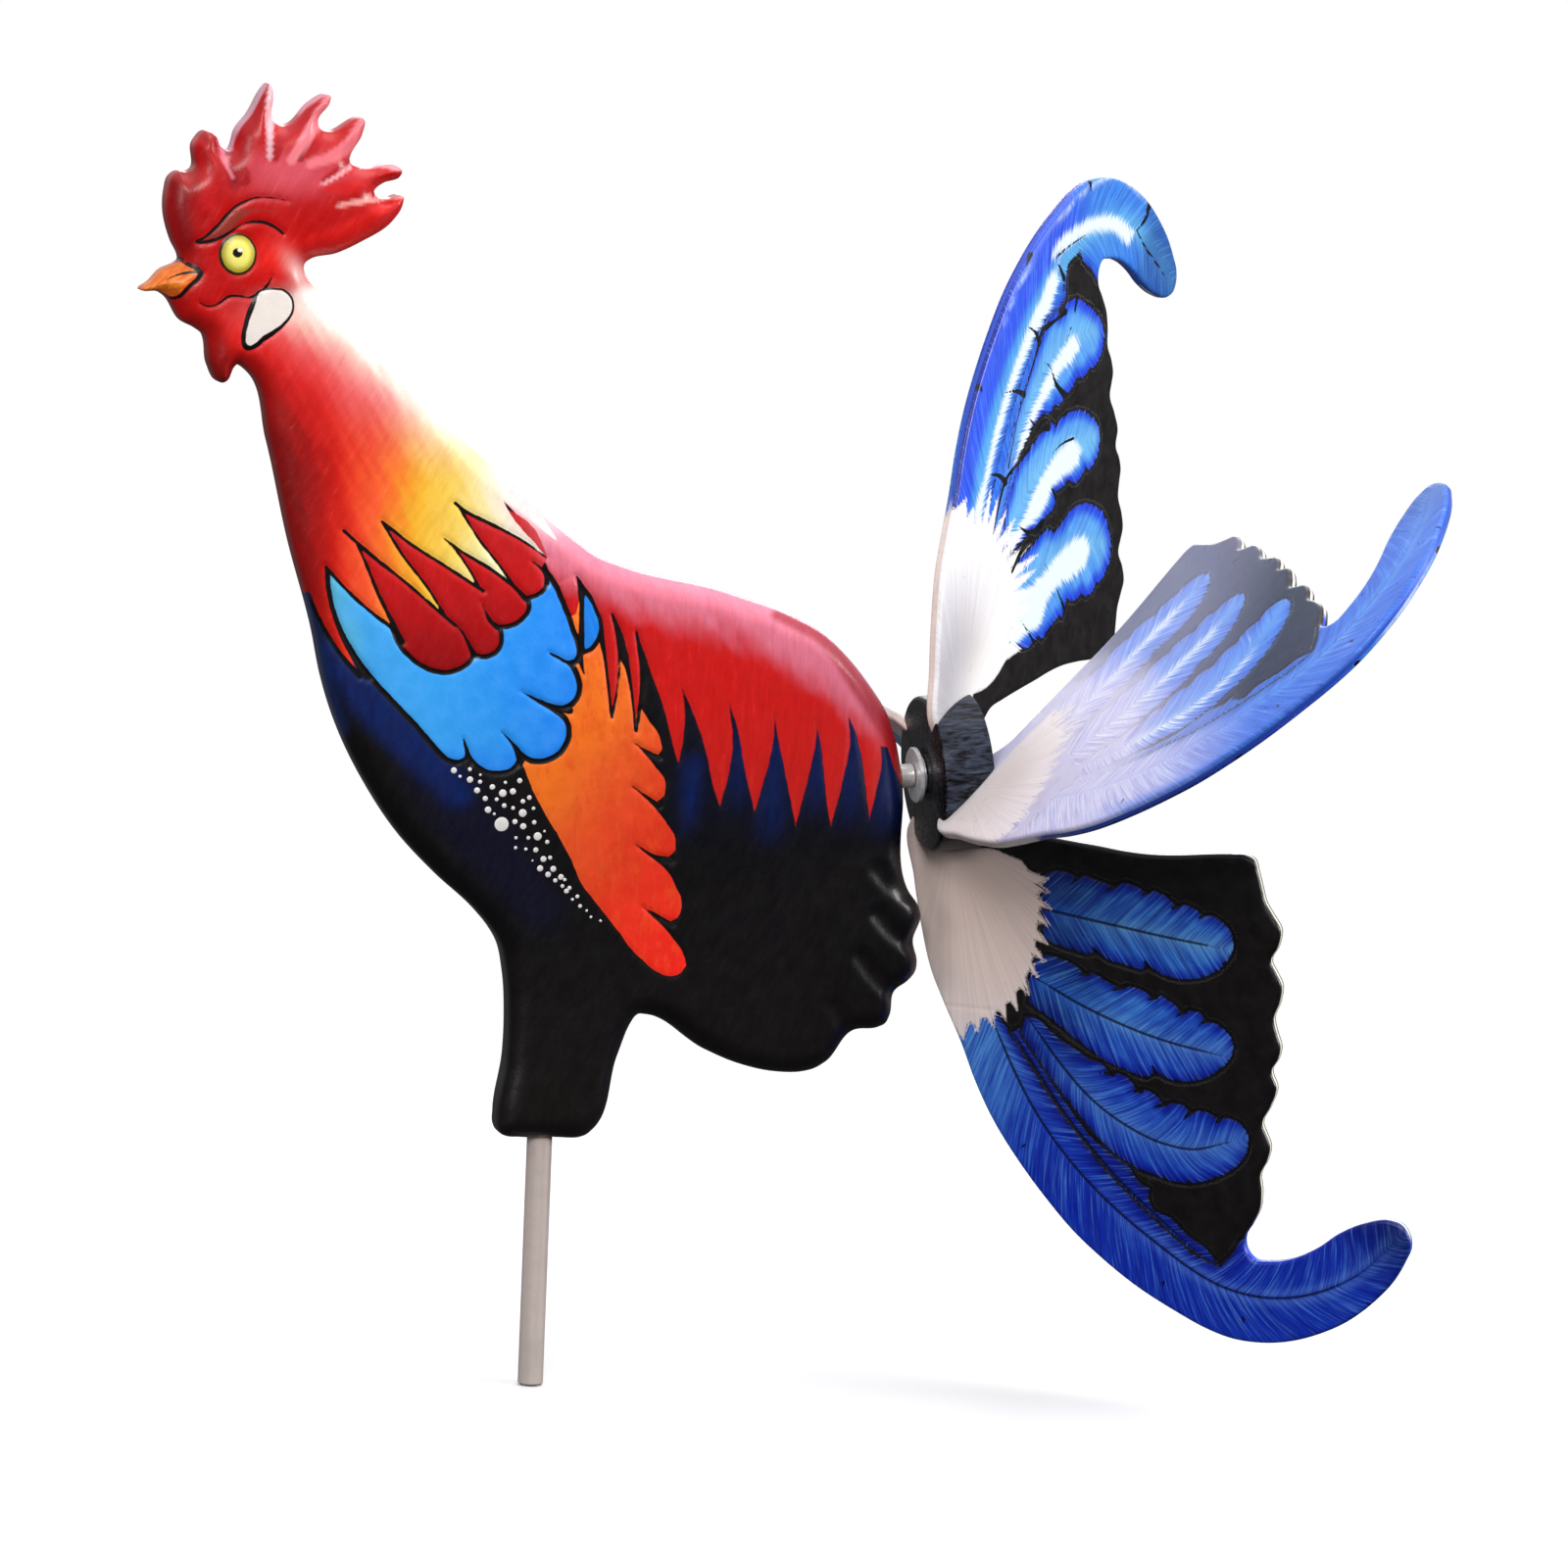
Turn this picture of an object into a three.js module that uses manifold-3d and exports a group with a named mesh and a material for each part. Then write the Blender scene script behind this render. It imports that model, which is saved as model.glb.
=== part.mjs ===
// Rooster whirligig: a painted board rooster that swivels on a steel rod,
// with a four-blade tail propeller that spins on an axle in its rear edge.
// Millimetres, +Z up. The origin is the centre of the rod's lower end.
// The rooster faces -X, its board lies in the XZ plane, its mid-plane is y = 0.
import * as THREE from 'three';
import { mergeVertices } from 'three/addons/utils/BufferGeometryUtils.js';
import Module from 'manifold-3d';

const wasm = await Module();
wasm.setup();

// ---------------------------------------------------------------- dimensions
const GAP = 0.3;                 // clearance between touching pieces
const BOARD_T = 25;              // thickness of the rooster board
const EDGE_R = 8;                // rounding of the board's edges
const FACE_INSETS = [25, 50, 72, 90]; // arc angles of the edge rounding, degrees

const ROD_D = 9.5;               // steel rod
const ROD_TOP = 184.7;           // height of the rod's upper end, inside the leg
const SLEEVE_OD = 13;            // brass sleeve lining the leg
const SLEEVE_ID = 10.1;
const SLEEVE_Z0 = 95.4;
const SLEEVE_Z1 = 184.6;
const LEG_BORE_D = SLEEVE_OD + 2 * GAP;
const PLUG_T = 3;                // hard disc that rides on the rod's end
const LEG_BORE_TOP = ROD_TOP + GAP + PLUG_T + GAP;

const HUB_X = 159.37;            // where the propeller axis crosses the blade planes
const HUB_Z = 233.29;
const AXIS_TILT = 5.33 * Math.PI / 180;  // the axle rises towards the rear
const HUB_D = 59;
const HUB_FRONT = -16.65;        // along the axle from the crossing point
const HUB_REAR = 3.3;
const BUSH_OD = 8;
const BUSH_ID = 5.4;

const SCREW_D = 4.8;             // tail axle: a long pan-head screw
const SCREW_TIP = -62;
const SCREW_HEAD_D = 9.6;
const SCREW_HEAD_T = 3.4;
const WASHER_ID = 5.4;
const SPOT_FACE = -26.3;         // flat seat cut in the rooster's rear edge
const SPOT_D = 20;

const BLADE_COUNT = 4;
const BLADE_T = 4.5;
const BLADE_PITCH = 43.96 * Math.PI / 180; // between the blade plane and the axle
const BLADE_START = 3.18 * Math.PI / 180;  // turn of the first blade at rest
const SLOT_CLEAR = 0.33;

// Rooster outline, (x, z), counter-clockwise as seen from -Y: foot of the leg,
// belly, rump, back, neck, comb, beak, wattle, breast and back to the leg.
const OUTLINE = [
  [-8.2, 95.1], [-15.6, 96.2], [-16.5, 96.9], [-17.4, 98.9], [-17.6, 103.9], [-14.8, 125.7], [-14.6, 139.7], [-16.1, 157.1],
  [-18.7, 167.7], [-22.6, 174.1], [-27.6, 179.9], [-43.6, 194.1], [-57.8, 208.7], [-71.6, 228.5], [-78.5, 240.9], [-84.2, 253.9],
  [-88.5, 267.1], [-92.3, 283.7], [-102.2, 316.7], [-111.3, 353.1], [-119.2, 377.5], [-121.4, 379.3], [-123.4, 380.3], [-124.0, 380.4],
  [-124.7, 379.7], [-127.6, 374.2], [-128.8, 373.6], [-130.1, 373.9], [-133.9, 379.7], [-135.7, 389.7], [-136.1, 390.7], [-138.6, 392.7],
  [-144.2, 395.5], [-151.1, 404.7], [-153.4, 405.9], [-158.8, 406.0], [-159.8, 406.3], [-159.4, 406.9], [-156.6, 409.0], [-152.0, 413.9],
  [-146.4, 416.7], [-145.6, 417.5], [-145.7, 418.3], [-148.5, 424.1], [-151.6, 436.7], [-151.3, 442.1], [-149.8, 447.4], [-147.8, 449.0],
  [-143.6, 449.2], [-142.6, 449.7], [-141.7, 459.7], [-140.6, 461.5], [-137.8, 463.9], [-136.8, 463.8], [-134.6, 462.9], [-131.7, 458.1],
  [-129.6, 457.1], [-128.6, 457.5], [-128.1, 458.5], [-126.4, 464.7], [-122.4, 470.1], [-116.2, 480.9], [-115.6, 481.5], [-115.1, 481.5],
  [-114.7, 481.1], [-113.7, 476.9], [-113.8, 469.3], [-113.3, 468.5], [-112.4, 467.7], [-110.0, 466.6], [-108.4, 466.9], [-99.4, 475.6],
  [-94.4, 478.5], [-93.4, 478.6], [-93.0, 478.3], [-92.7, 477.5], [-93.0, 475.5], [-97.1, 468.3], [-96.8, 467.1], [-96.0, 466.3],
  [-94.2, 465.3], [-93.4, 465.2], [-81.6, 470.7], [-80.8, 470.8], [-80.2, 470.0], [-80.7, 464.9], [-85.1, 455.9], [-85.2, 455.3],
  [-84.9, 454.7], [-81.2, 452.8], [-68.4, 454.1], [-67.0, 453.7], [-65.7, 452.3], [-65.9, 450.5], [-66.4, 449.7], [-72.6, 447.1],
  [-75.2, 445.1], [-75.8, 444.3], [-75.2, 443.1], [-72.4, 441.8], [-70.2, 441.9], [-66.2, 443.3], [-65.2, 443.2], [-64.8, 442.9],
  [-64.8, 440.9], [-65.2, 439.1], [-68.4, 433.9], [-80.4, 425.5], [-88.6, 421.5], [-99.0, 418.6], [-100.3, 417.5], [-100.6, 416.1],
  [-100.3, 414.5], [-96.2, 409.4], [-90.2, 402.8], [-84.0, 396.2], [-77.8, 389.6], [-71.4, 383.0], [-64.8, 376.4], [-58.0, 370.1],
  [-51.0, 364.2], [-44.8, 359.2], [-38.6, 354.4], [4.6, 318.0], [10.4, 314.0], [12.8, 312.8], [24.4, 308.7], [63.2, 300.1],
  [67.6, 298.7], [84.4, 293.2], [100.6, 284.9], [109.6, 277.1], [120.8, 263.9], [125.3, 257.5], [129.3, 248.3], [133.5, 231.1],
  [137.4, 189.5], [137.8, 188.7], [142.5, 181.9], [143.3, 179.3], [140.8, 169.1], [142.7, 160.5], [142.2, 157.3], [141.4, 155.9],
  [139.0, 153.3], [134.5, 149.9], [132.8, 140.3], [131.3, 137.3], [128.2, 135.8], [118.8, 134.7], [108.4, 122.7], [103.6, 120.0],
  [99.8, 119.1], [88.8, 119.1], [74.0, 122.4], [61.0, 127.9], [37.4, 141.3], [34.8, 141.4], [33.6, 140.5], [32.8, 139.3],
  [27.6, 126.1], [19.0, 97.7], [16.4, 95.6], [15.4, 95.2], [4.4, 94.9],
].reverse();

// Blade outline, (radial, chordwise towards the rear), from the tapered root
// that sits in the hub, up the curved leading edge, round the tip, through the
// notch and back along the scalloped trailing edge.
const BLADE = [
  [10.36, 2.96], [10.36, -7.40], [22.20, -23.68], [42.55, -22.20], [61.42, -19.61], [79.55, -15.54], [90.28, -11.10], [106.56, -3.70],
  [120.25, 1.48], [133.94, 8.14], [152.81, 21.09], [164.65, 31.08], [175.75, 41.81], [185.74, 54.39], [194.25, 67.34], [202.76, 84.36],
  [207.94, 96.94], [210.53, 107.30], [210.90, 117.66], [209.05, 130.24], [203.87, 144.30], [198.32, 154.29], [188.70, 165.76], [180.19, 173.16],
  [172.42, 177.60], [167.24, 179.82], [162.06, 179.45], [158.36, 176.86], [156.88, 172.05], [159.10, 162.06], [165.02, 150.59], [170.94, 142.82],
  [176.49, 132.09], [178.34, 123.95], [177.97, 116.18], [174.64, 113.59], [170.20, 113.22], [165.02, 116.18], [158.36, 119.51], [151.70, 120.25],
  [145.04, 119.88], [139.12, 122.84], [133.57, 123.95], [129.50, 122.47], [125.80, 120.99], [118.40, 124.32], [111.00, 126.91], [104.34, 125.06],
  [99.90, 127.65], [95.09, 128.76], [89.91, 127.28], [84.73, 126.17], [77.70, 128.76], [71.04, 129.50], [66.60, 127.28], [62.90, 125.43],
  [56.61, 128.39], [50.32, 129.50], [45.14, 126.54], [40.33, 123.58], [34.78, 122.10], [28.86, 120.62], [24.42, 119.14], [22.94, 116.18],
  [22.94, 111.00], [23.68, 102.12], [25.16, 88.80], [25.90, 75.85], [25.53, 66.60], [24.42, 55.50], [23.31, 42.55], [21.83, 27.75],
  [20.72, 19.24],
];

// ---------------------------------------------------------------- helpers
const mat = (color, roughness, metalness = 0) =>
  new THREE.MeshStandardMaterial({ color, roughness, metalness });

function soup(triangles) {
  const g = new THREE.BufferGeometry();
  g.setAttribute('position', new THREE.BufferAttribute(new Float32Array(triangles.flat(2)), 3));
  return mergeVertices(g, 1e-4);
}

function solid(geometry) {
  const g = geometry.clone();
  for (const name of Object.keys(g.attributes)) if (name !== 'position') g.deleteAttribute(name);
  const m = mergeVertices(g, 1e-4);
  return new wasm.Manifold(new wasm.Mesh({
    numProp: 3,
    vertProperties: new Float32Array(m.attributes.position.array),
    triVerts: new Uint32Array(m.index.array),
  }));
}

function fromSolid(manifold) {
  const mesh = manifold.getMesh();
  const g = new THREE.BufferGeometry();
  g.setAttribute('position', new THREE.BufferAttribute(new Float32Array(mesh.vertProperties), 3));
  g.setIndex(new THREE.BufferAttribute(new Uint32Array(mesh.triVerts), 1));
  return g;
}

// closed profile [(radius, height)...] turned about +Z
function turned(profile, segments = 40) {
  const pts = profile.map(([r, z]) => new THREE.Vector2(r, z));
  const g = new THREE.LatheGeometry(pts, segments);
  g.rotateX(Math.PI / 2);
  return g;
}

function rod(r, z0, z1, chamfer, segments = 40) {
  return turned([[0, z0], [r - chamfer, z0], [r, z0 + chamfer], [r, z1 - chamfer], [r - chamfer, z1], [0, z1]], segments);
}

function tube(ro, ri, z0, z1, chamfer, segments = 40) {
  return turned([
    [ri, z0], [ro - chamfer, z0], [ro, z0 + chamfer], [ro, z1 - chamfer], [ro - chamfer, z1], [ri, z1], [ri, z0],
  ], segments);
}

// a piece turned about +Z laid along the local +X axle
const alongAxle = (g) => g.rotateY(Math.PI / 2);

// signed distance to the outline, positive inside
function outlineDistance(x, z) {
  let best = Infinity;
  let inside = false;
  const n = OUTLINE.length;
  for (let i = 0, j = n - 1; i < n; j = i++) {
    const [ax, az] = OUTLINE[j];
    const [bx, bz] = OUTLINE[i];
    const ex = bx - ax, ez = bz - az;
    const t = Math.min(1, Math.max(0, ((x - ax) * ex + (z - az) * ez) / (ex * ex + ez * ez)));
    const dx = x - ax - t * ex, dz = z - az - t * ez;
    best = Math.min(best, dx * dx + dz * dz);
    if ((az > z) !== (bz > z) && x < ((bx - ax) * (z - az)) / (bz - az) + ax) inside = !inside;
  }
  return inside ? Math.sqrt(best) : -Math.sqrt(best);
}

function distanceField(step) {
  const xs = OUTLINE.map((p) => p[0]), zs = OUTLINE.map((p) => p[1]);
  const x0 = Math.min(...xs) - 2 * step, z0 = Math.min(...zs) - 2 * step;
  const nx = Math.ceil((Math.max(...xs) - x0) / step) + 3;
  const nz = Math.ceil((Math.max(...zs) - z0) / step) + 3;
  const f = new Float64Array(nx * nz);
  for (let k = 0; k < nz; k++) for (let i = 0; i < nx; i++) f[k * nx + i] = outlineDistance(x0 + i * step, z0 + k * step);
  return { f, nx, nz, x0, z0, step };
}

// closed contours of the distance field at one level, interior on the left
function contours({ f, nx, nz, x0, z0, step }, level) {
  const next = new Map(), where = new Map();
  const table = {
    1: [[3, 0]], 2: [[0, 1]], 3: [[3, 1]], 4: [[1, 2]], 5: [[3, 0], [1, 2]], 6: [[0, 2]], 7: [[3, 2]],
    8: [[2, 3]], 9: [[2, 0]], 10: [[0, 1], [2, 3]], 11: [[2, 1]], 12: [[1, 3]], 13: [[1, 0]], 14: [[0, 3]],
  };
  for (let k = 0; k < nz - 1; k++) {
    for (let i = 0; i < nx - 1; i++) {
      const a = f[k * nx + i] - level, b = f[k * nx + i + 1] - level;
      const c = f[(k + 1) * nx + i + 1] - level, d = f[(k + 1) * nx + i] - level;
      const code = (a > 0) + 2 * (b > 0) + 4 * (c > 0) + 8 * (d > 0);
      if (!(code in table)) continue;
      const at = [
        () => [`h${k}_${i}`, [i + a / (a - b), k]],
        () => [`v${k}_${i + 1}`, [i + 1, k + b / (b - c)]],
        () => [`h${k + 1}_${i}`, [i + d / (d - c), k + 1]],
        () => [`v${k}_${i}`, [i, k + a / (a - d)]],
      ];
      for (const [s, t] of table[code]) {
        const [ks, ps] = at[s](), [kt, pt] = at[t]();
        where.set(ks, ps); where.set(kt, pt); next.set(ks, kt);
      }
    }
  }
  const loops = [], seen = new Set();
  for (const start of next.keys()) {
    if (seen.has(start)) continue;
    const loop = [];
    for (let q = start; !seen.has(q) && next.has(q); q = next.get(q)) {
      seen.add(q);
      const [i, k] = where.get(q);
      loop.push([x0 + i * step, z0 + k * step]);
    }
    loops.push(loop.reverse());
  }
  return loops;
}

function area(loop) {
  let s = 0;
  for (let i = 0, j = loop.length - 1; i < loop.length; j = i++) s += loop[j][0] * loop[i][1] - loop[i][0] * loop[j][1];
  return s / 2;
}

// drops points that lie within the tolerance of the line through their neighbours
function simplified(loop, tolerance) {
  let far = 0, best = -1;
  loop.forEach((p, i) => {
    const d = Math.hypot(p[0] - loop[0][0], p[1] - loop[0][1]);
    if (d > best) { best = d; far = i; }
  });
  const keep = new Set([0, far]);
  const walk = (a, b) => {
    if (b - a < 2) return;
    const A = loop[a], B = loop[b % loop.length];
    const len = Math.hypot(B[0] - A[0], B[1] - A[1]) + 1e-12;
    let worst = -1, at = -1;
    for (let i = a + 1; i < b; i++) {
      const d = Math.abs((B[0] - A[0]) * (loop[i][1] - A[1]) - (B[1] - A[1]) * (loop[i][0] - A[0])) / len;
      if (d > worst) { worst = d; at = i; }
    }
    if (worst < tolerance) return;
    keep.add(at); walk(a, at); walk(at, b);
  };
  walk(0, far); walk(far, loop.length);
  return [...keep].sort((a, b) => a - b).map((i) => loop[i]);
}

function contains(loop, [x, z]) {
  let inside = false;
  for (let i = 0, j = loop.length - 1; i < loop.length; j = i++) {
    const [ax, az] = loop[j], [bx, bz] = loop[i];
    if ((az > z) !== (bz > z) && x < ((bx - ax) * (z - az)) / (bz - az) + ax) inside = !inside;
  }
  return inside;
}

// ---------------------------------------------------------------- rooster board
// The board is built in steps from its outline inwards: each step is one
// contour of the distance field, lifted to the height of the rounded edge.
function roundedBoard() {
  const field = distanceField(1.0);
  const flat = BOARD_T / 2 - EDGE_R;
  const levels = [{ height: flat, loops: [OUTLINE] }];
  for (const deg of FACE_INSETS) {
    const a = deg * Math.PI / 180;
    levels.push({
      height: flat + EDGE_R * Math.sin(a),
      loops: contours(field, EDGE_R * (1 - Math.cos(a)))
        .filter((l) => area(l) > 3).map((l) => simplified(l, 0.14)).filter((l) => l.length > 3),
    });
  }
  const triangles = [];
  const both = (p, q, r, hp, hq, hr) => {
    triangles.push([[p[0], -hp, p[1]], [q[0], -hq, q[1]], [r[0], -hr, r[1]]]);
    triangles.push([[p[0], hp, p[1]], [r[0], hr, r[1]], [q[0], hq, q[1]]]);
  };
  levels.forEach((level, k) => {
    const inner = levels[k + 1];
    for (const loop of level.loops) {
      const holes = inner ? inner.loops.filter((h) => contains(loop, h[0])) : [];
      const all = [...loop, ...holes.flat()];
      const rise = [...loop.map(() => level.height), ...holes.flat().map(() => inner.height)];
      const faces = THREE.ShapeUtils.triangulateShape(
        loop.map(([x, z]) => new THREE.Vector2(x, z)),
        holes.map((h) => h.map(([x, z]) => new THREE.Vector2(x, z))),
      );
      for (const [a, b, c] of faces) {
        const turn = (all[b][0] - all[a][0]) * (all[c][1] - all[a][1]) - (all[b][1] - all[a][1]) * (all[c][0] - all[a][0]);
        if (turn >= 0) both(all[a], all[b], all[c], rise[a], rise[b], rise[c]);
        else both(all[a], all[c], all[b], rise[a], rise[c], rise[b]);
      }
    }
  });
  OUTLINE.forEach((a, i) => {
    const b = OUTLINE[(i + 1) % OUTLINE.length];
    triangles.push([[a[0], -flat, a[1]], [a[0], flat, a[1]], [b[0], flat, b[1]]]);
    triangles.push([[a[0], -flat, a[1]], [b[0], flat, b[1]], [b[0], -flat, b[1]]]);
  });
  return soup(triangles);
}

// the placement of everything on the tail axle
const axle = new THREE.Matrix4()
  .makeTranslation(HUB_X, 0, HUB_Z)
  .multiply(new THREE.Matrix4().makeRotationY(-AXIS_TILT));

function roosterBody() {
  let body = solid(roundedBoard());
  body = body.subtract(solid(rod(LEG_BORE_D / 2, 60, LEG_BORE_TOP, 0.01)));
  body = body.subtract(solid(alongAxle(rod(SCREW_D / 2 + GAP, SCREW_TIP - GAP, -10, 0.01, 28)).applyMatrix4(axle)));
  body = body.subtract(solid(alongAxle(rod(SPOT_D / 2, SPOT_FACE, -8, 0.01)).applyMatrix4(axle)));
  return fromSolid(body);
}

// ---------------------------------------------------------------- propeller
// blade frame: columns are radial, chordwise and face normal
function bladeFrame(index) {
  const a = BLADE_START + index * (2 * Math.PI / BLADE_COUNT);
  const radial = new THREE.Vector3(0, -Math.sin(a), Math.cos(a));
  const tangent = new THREE.Vector3(0, Math.cos(a), Math.sin(a));
  const chord = new THREE.Vector3(1, 0, 0).multiplyScalar(Math.cos(BLADE_PITCH)).addScaledVector(tangent, Math.sin(BLADE_PITCH));
  const normal = new THREE.Vector3().crossVectors(radial, chord);
  return new THREE.Matrix4().makeBasis(radial, chord, normal);
}

function plate(points, thickness) {
  const shape = new THREE.Shape(points.map(([u, v]) => new THREE.Vector2(u, v)));
  const g = new THREE.ExtrudeGeometry(shape, { depth: thickness, bevelEnabled: false });
  return g.translate(0, 0, -thickness / 2);
}

// the part of a blade that the hub's slot has to clear
const SLOT = [
  [10.03, 3.1], [10.03, -7.55], [22.05, -24.1], [44, -22.6], [44, 41], [22.6, 41], [20.4, 19.35],
];

function tailHub() {
  const r = HUB_D / 2;
  let hub = solid(alongAxle(turned([
    [0, HUB_FRONT], [r - 1, HUB_FRONT], [r, HUB_FRONT + 1], [r, HUB_REAR - 1], [r - 1, HUB_REAR], [0, HUB_REAR],
  ], 56)));
  hub = hub.subtract(solid(alongAxle(rod(BUSH_OD / 2 + GAP, HUB_FRONT - 3, HUB_REAR + 3, 0.01, 32))));
  for (let i = 0; i < BLADE_COUNT; i++) {
    hub = hub.subtract(solid(plate(SLOT, BLADE_T + 2 * SLOT_CLEAR).applyMatrix4(bladeFrame(i))));
  }
  return fromSolid(hub);
}

// ---------------------------------------------------------------- assembly
const paintRed = mat('#b3201c', 0.35);
const paintBlack = mat('#17161b', 0.3);
const paintBlue = mat('#2b4fae', 0.35);
const steel = mat('#8f9093', 0.4, 1);
const darkSteel = mat('#3c3b3a', 0.5, 1);
const brass = mat('#a98a4c', 0.4, 1);
const zinc = mat('#c9cacc', 0.3, 1);

function piece(name, geometry, material) {
  const g = geometry.index ? geometry.toNonIndexed() : geometry;
  g.computeVertexNormals();
  const m = new THREE.Mesh(g, material);
  m.name = name;
  return m;
}

const whirligig = new THREE.Group();

const pole = new THREE.Group();
pole.add(piece('pole_rod', rod(ROD_D / 2, 0, ROD_TOP, 0.5), darkSteel));

const rooster = new THREE.Group();
rooster.add(piece('rooster_body', roosterBody(), paintRed));
rooster.add(piece('pivot_sleeve', tube(SLEEVE_OD / 2, SLEEVE_ID / 2, SLEEVE_Z0, SLEEVE_Z1, 0.3), brass));
rooster.add(piece('pivot_plug', rod(SLEEVE_OD / 2, ROD_TOP + GAP, ROD_TOP + GAP + PLUG_T, 0.3), steel));

const tailAxle = new THREE.Group();
tailAxle.position.set(HUB_X, 0, HUB_Z);
tailAxle.rotation.y = -AXIS_TILT;
const headZ = HUB_REAR + GAP + 1.3 + GAP;
tailAxle.add(piece('tail_axle_screw', alongAxle(turned([
  [0, SCREW_TIP], [0.8, SCREW_TIP], [SCREW_D / 2, SCREW_TIP + 6], [SCREW_D / 2, headZ],
  [SCREW_HEAD_D / 2, headZ], [SCREW_HEAD_D / 2, headZ + SCREW_HEAD_T * 0.45],
  [SCREW_HEAD_D / 2 - 1.2, headZ + SCREW_HEAD_T * 0.85], [SCREW_HEAD_D / 2 - 3, headZ + SCREW_HEAD_T], [0, headZ + SCREW_HEAD_T],
], 32)), zinc));
tailAxle.add(piece('rooster_washer', alongAxle(tube(10.5, WASHER_ID / 2, HUB_FRONT - 2 * GAP - 1.3 - 1.8, HUB_FRONT - 2 * GAP - 1.3, 0.2)), zinc));
tailAxle.add(piece('spacer_tube', alongAxle(tube(4.5, WASHER_ID / 2, SPOT_FACE + GAP, HUB_FRONT - 3 * GAP - 1.3 - 1.8, 0.2, 32)), steel));
tailAxle.add(piece('hub_front_washer', alongAxle(tube(7.5, WASHER_ID / 2, HUB_FRONT - GAP - 1.3, HUB_FRONT - GAP, 0.2)), zinc));
tailAxle.add(piece('hub_rear_washer', alongAxle(tube(7.5, WASHER_ID / 2, HUB_REAR + GAP, HUB_REAR + GAP + 1.3, 0.2)), zinc));
rooster.add(tailAxle);

const tail = new THREE.Group();
tail.position.set(HUB_X, 0, HUB_Z);
tail.rotation.y = -AXIS_TILT;
tail.add(piece('tail_hub', tailHub(), paintBlack));
tail.add(piece('hub_bushing', alongAxle(tube(BUSH_OD / 2, BUSH_ID / 2, HUB_FRONT, HUB_REAR, 0.2, 32)), brass));
for (let i = 0; i < BLADE_COUNT; i++) {
  const blade = piece(`tail_blade_${i + 1}`, plate(BLADE, BLADE_T), paintBlue);
  blade.applyMatrix4(bladeFrame(i));
  tail.add(blade);
}

whirligig.add(pole, rooster, tail);

export default whirligig;
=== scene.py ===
"""Rooster whirligig: painted board rooster with a four-blade tail propeller, on a steel rod."""
import bpy, bmesh, math
import numpy as np
from mathutils import Vector, Matrix, kdtree
from mathutils.geometry import delaunay_2d_cdt


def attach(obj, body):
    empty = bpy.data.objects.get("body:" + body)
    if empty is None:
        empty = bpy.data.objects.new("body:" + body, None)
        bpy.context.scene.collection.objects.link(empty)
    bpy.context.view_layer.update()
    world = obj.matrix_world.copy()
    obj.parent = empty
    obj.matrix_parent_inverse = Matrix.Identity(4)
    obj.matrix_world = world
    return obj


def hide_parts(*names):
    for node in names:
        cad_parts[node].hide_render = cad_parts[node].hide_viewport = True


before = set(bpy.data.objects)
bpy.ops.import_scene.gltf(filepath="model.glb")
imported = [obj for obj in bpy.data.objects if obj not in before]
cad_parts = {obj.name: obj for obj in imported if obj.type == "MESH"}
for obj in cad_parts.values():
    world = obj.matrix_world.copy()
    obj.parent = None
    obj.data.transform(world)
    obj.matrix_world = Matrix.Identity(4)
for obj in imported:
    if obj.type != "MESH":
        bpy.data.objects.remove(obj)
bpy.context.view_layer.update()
MM = 0.001

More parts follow.
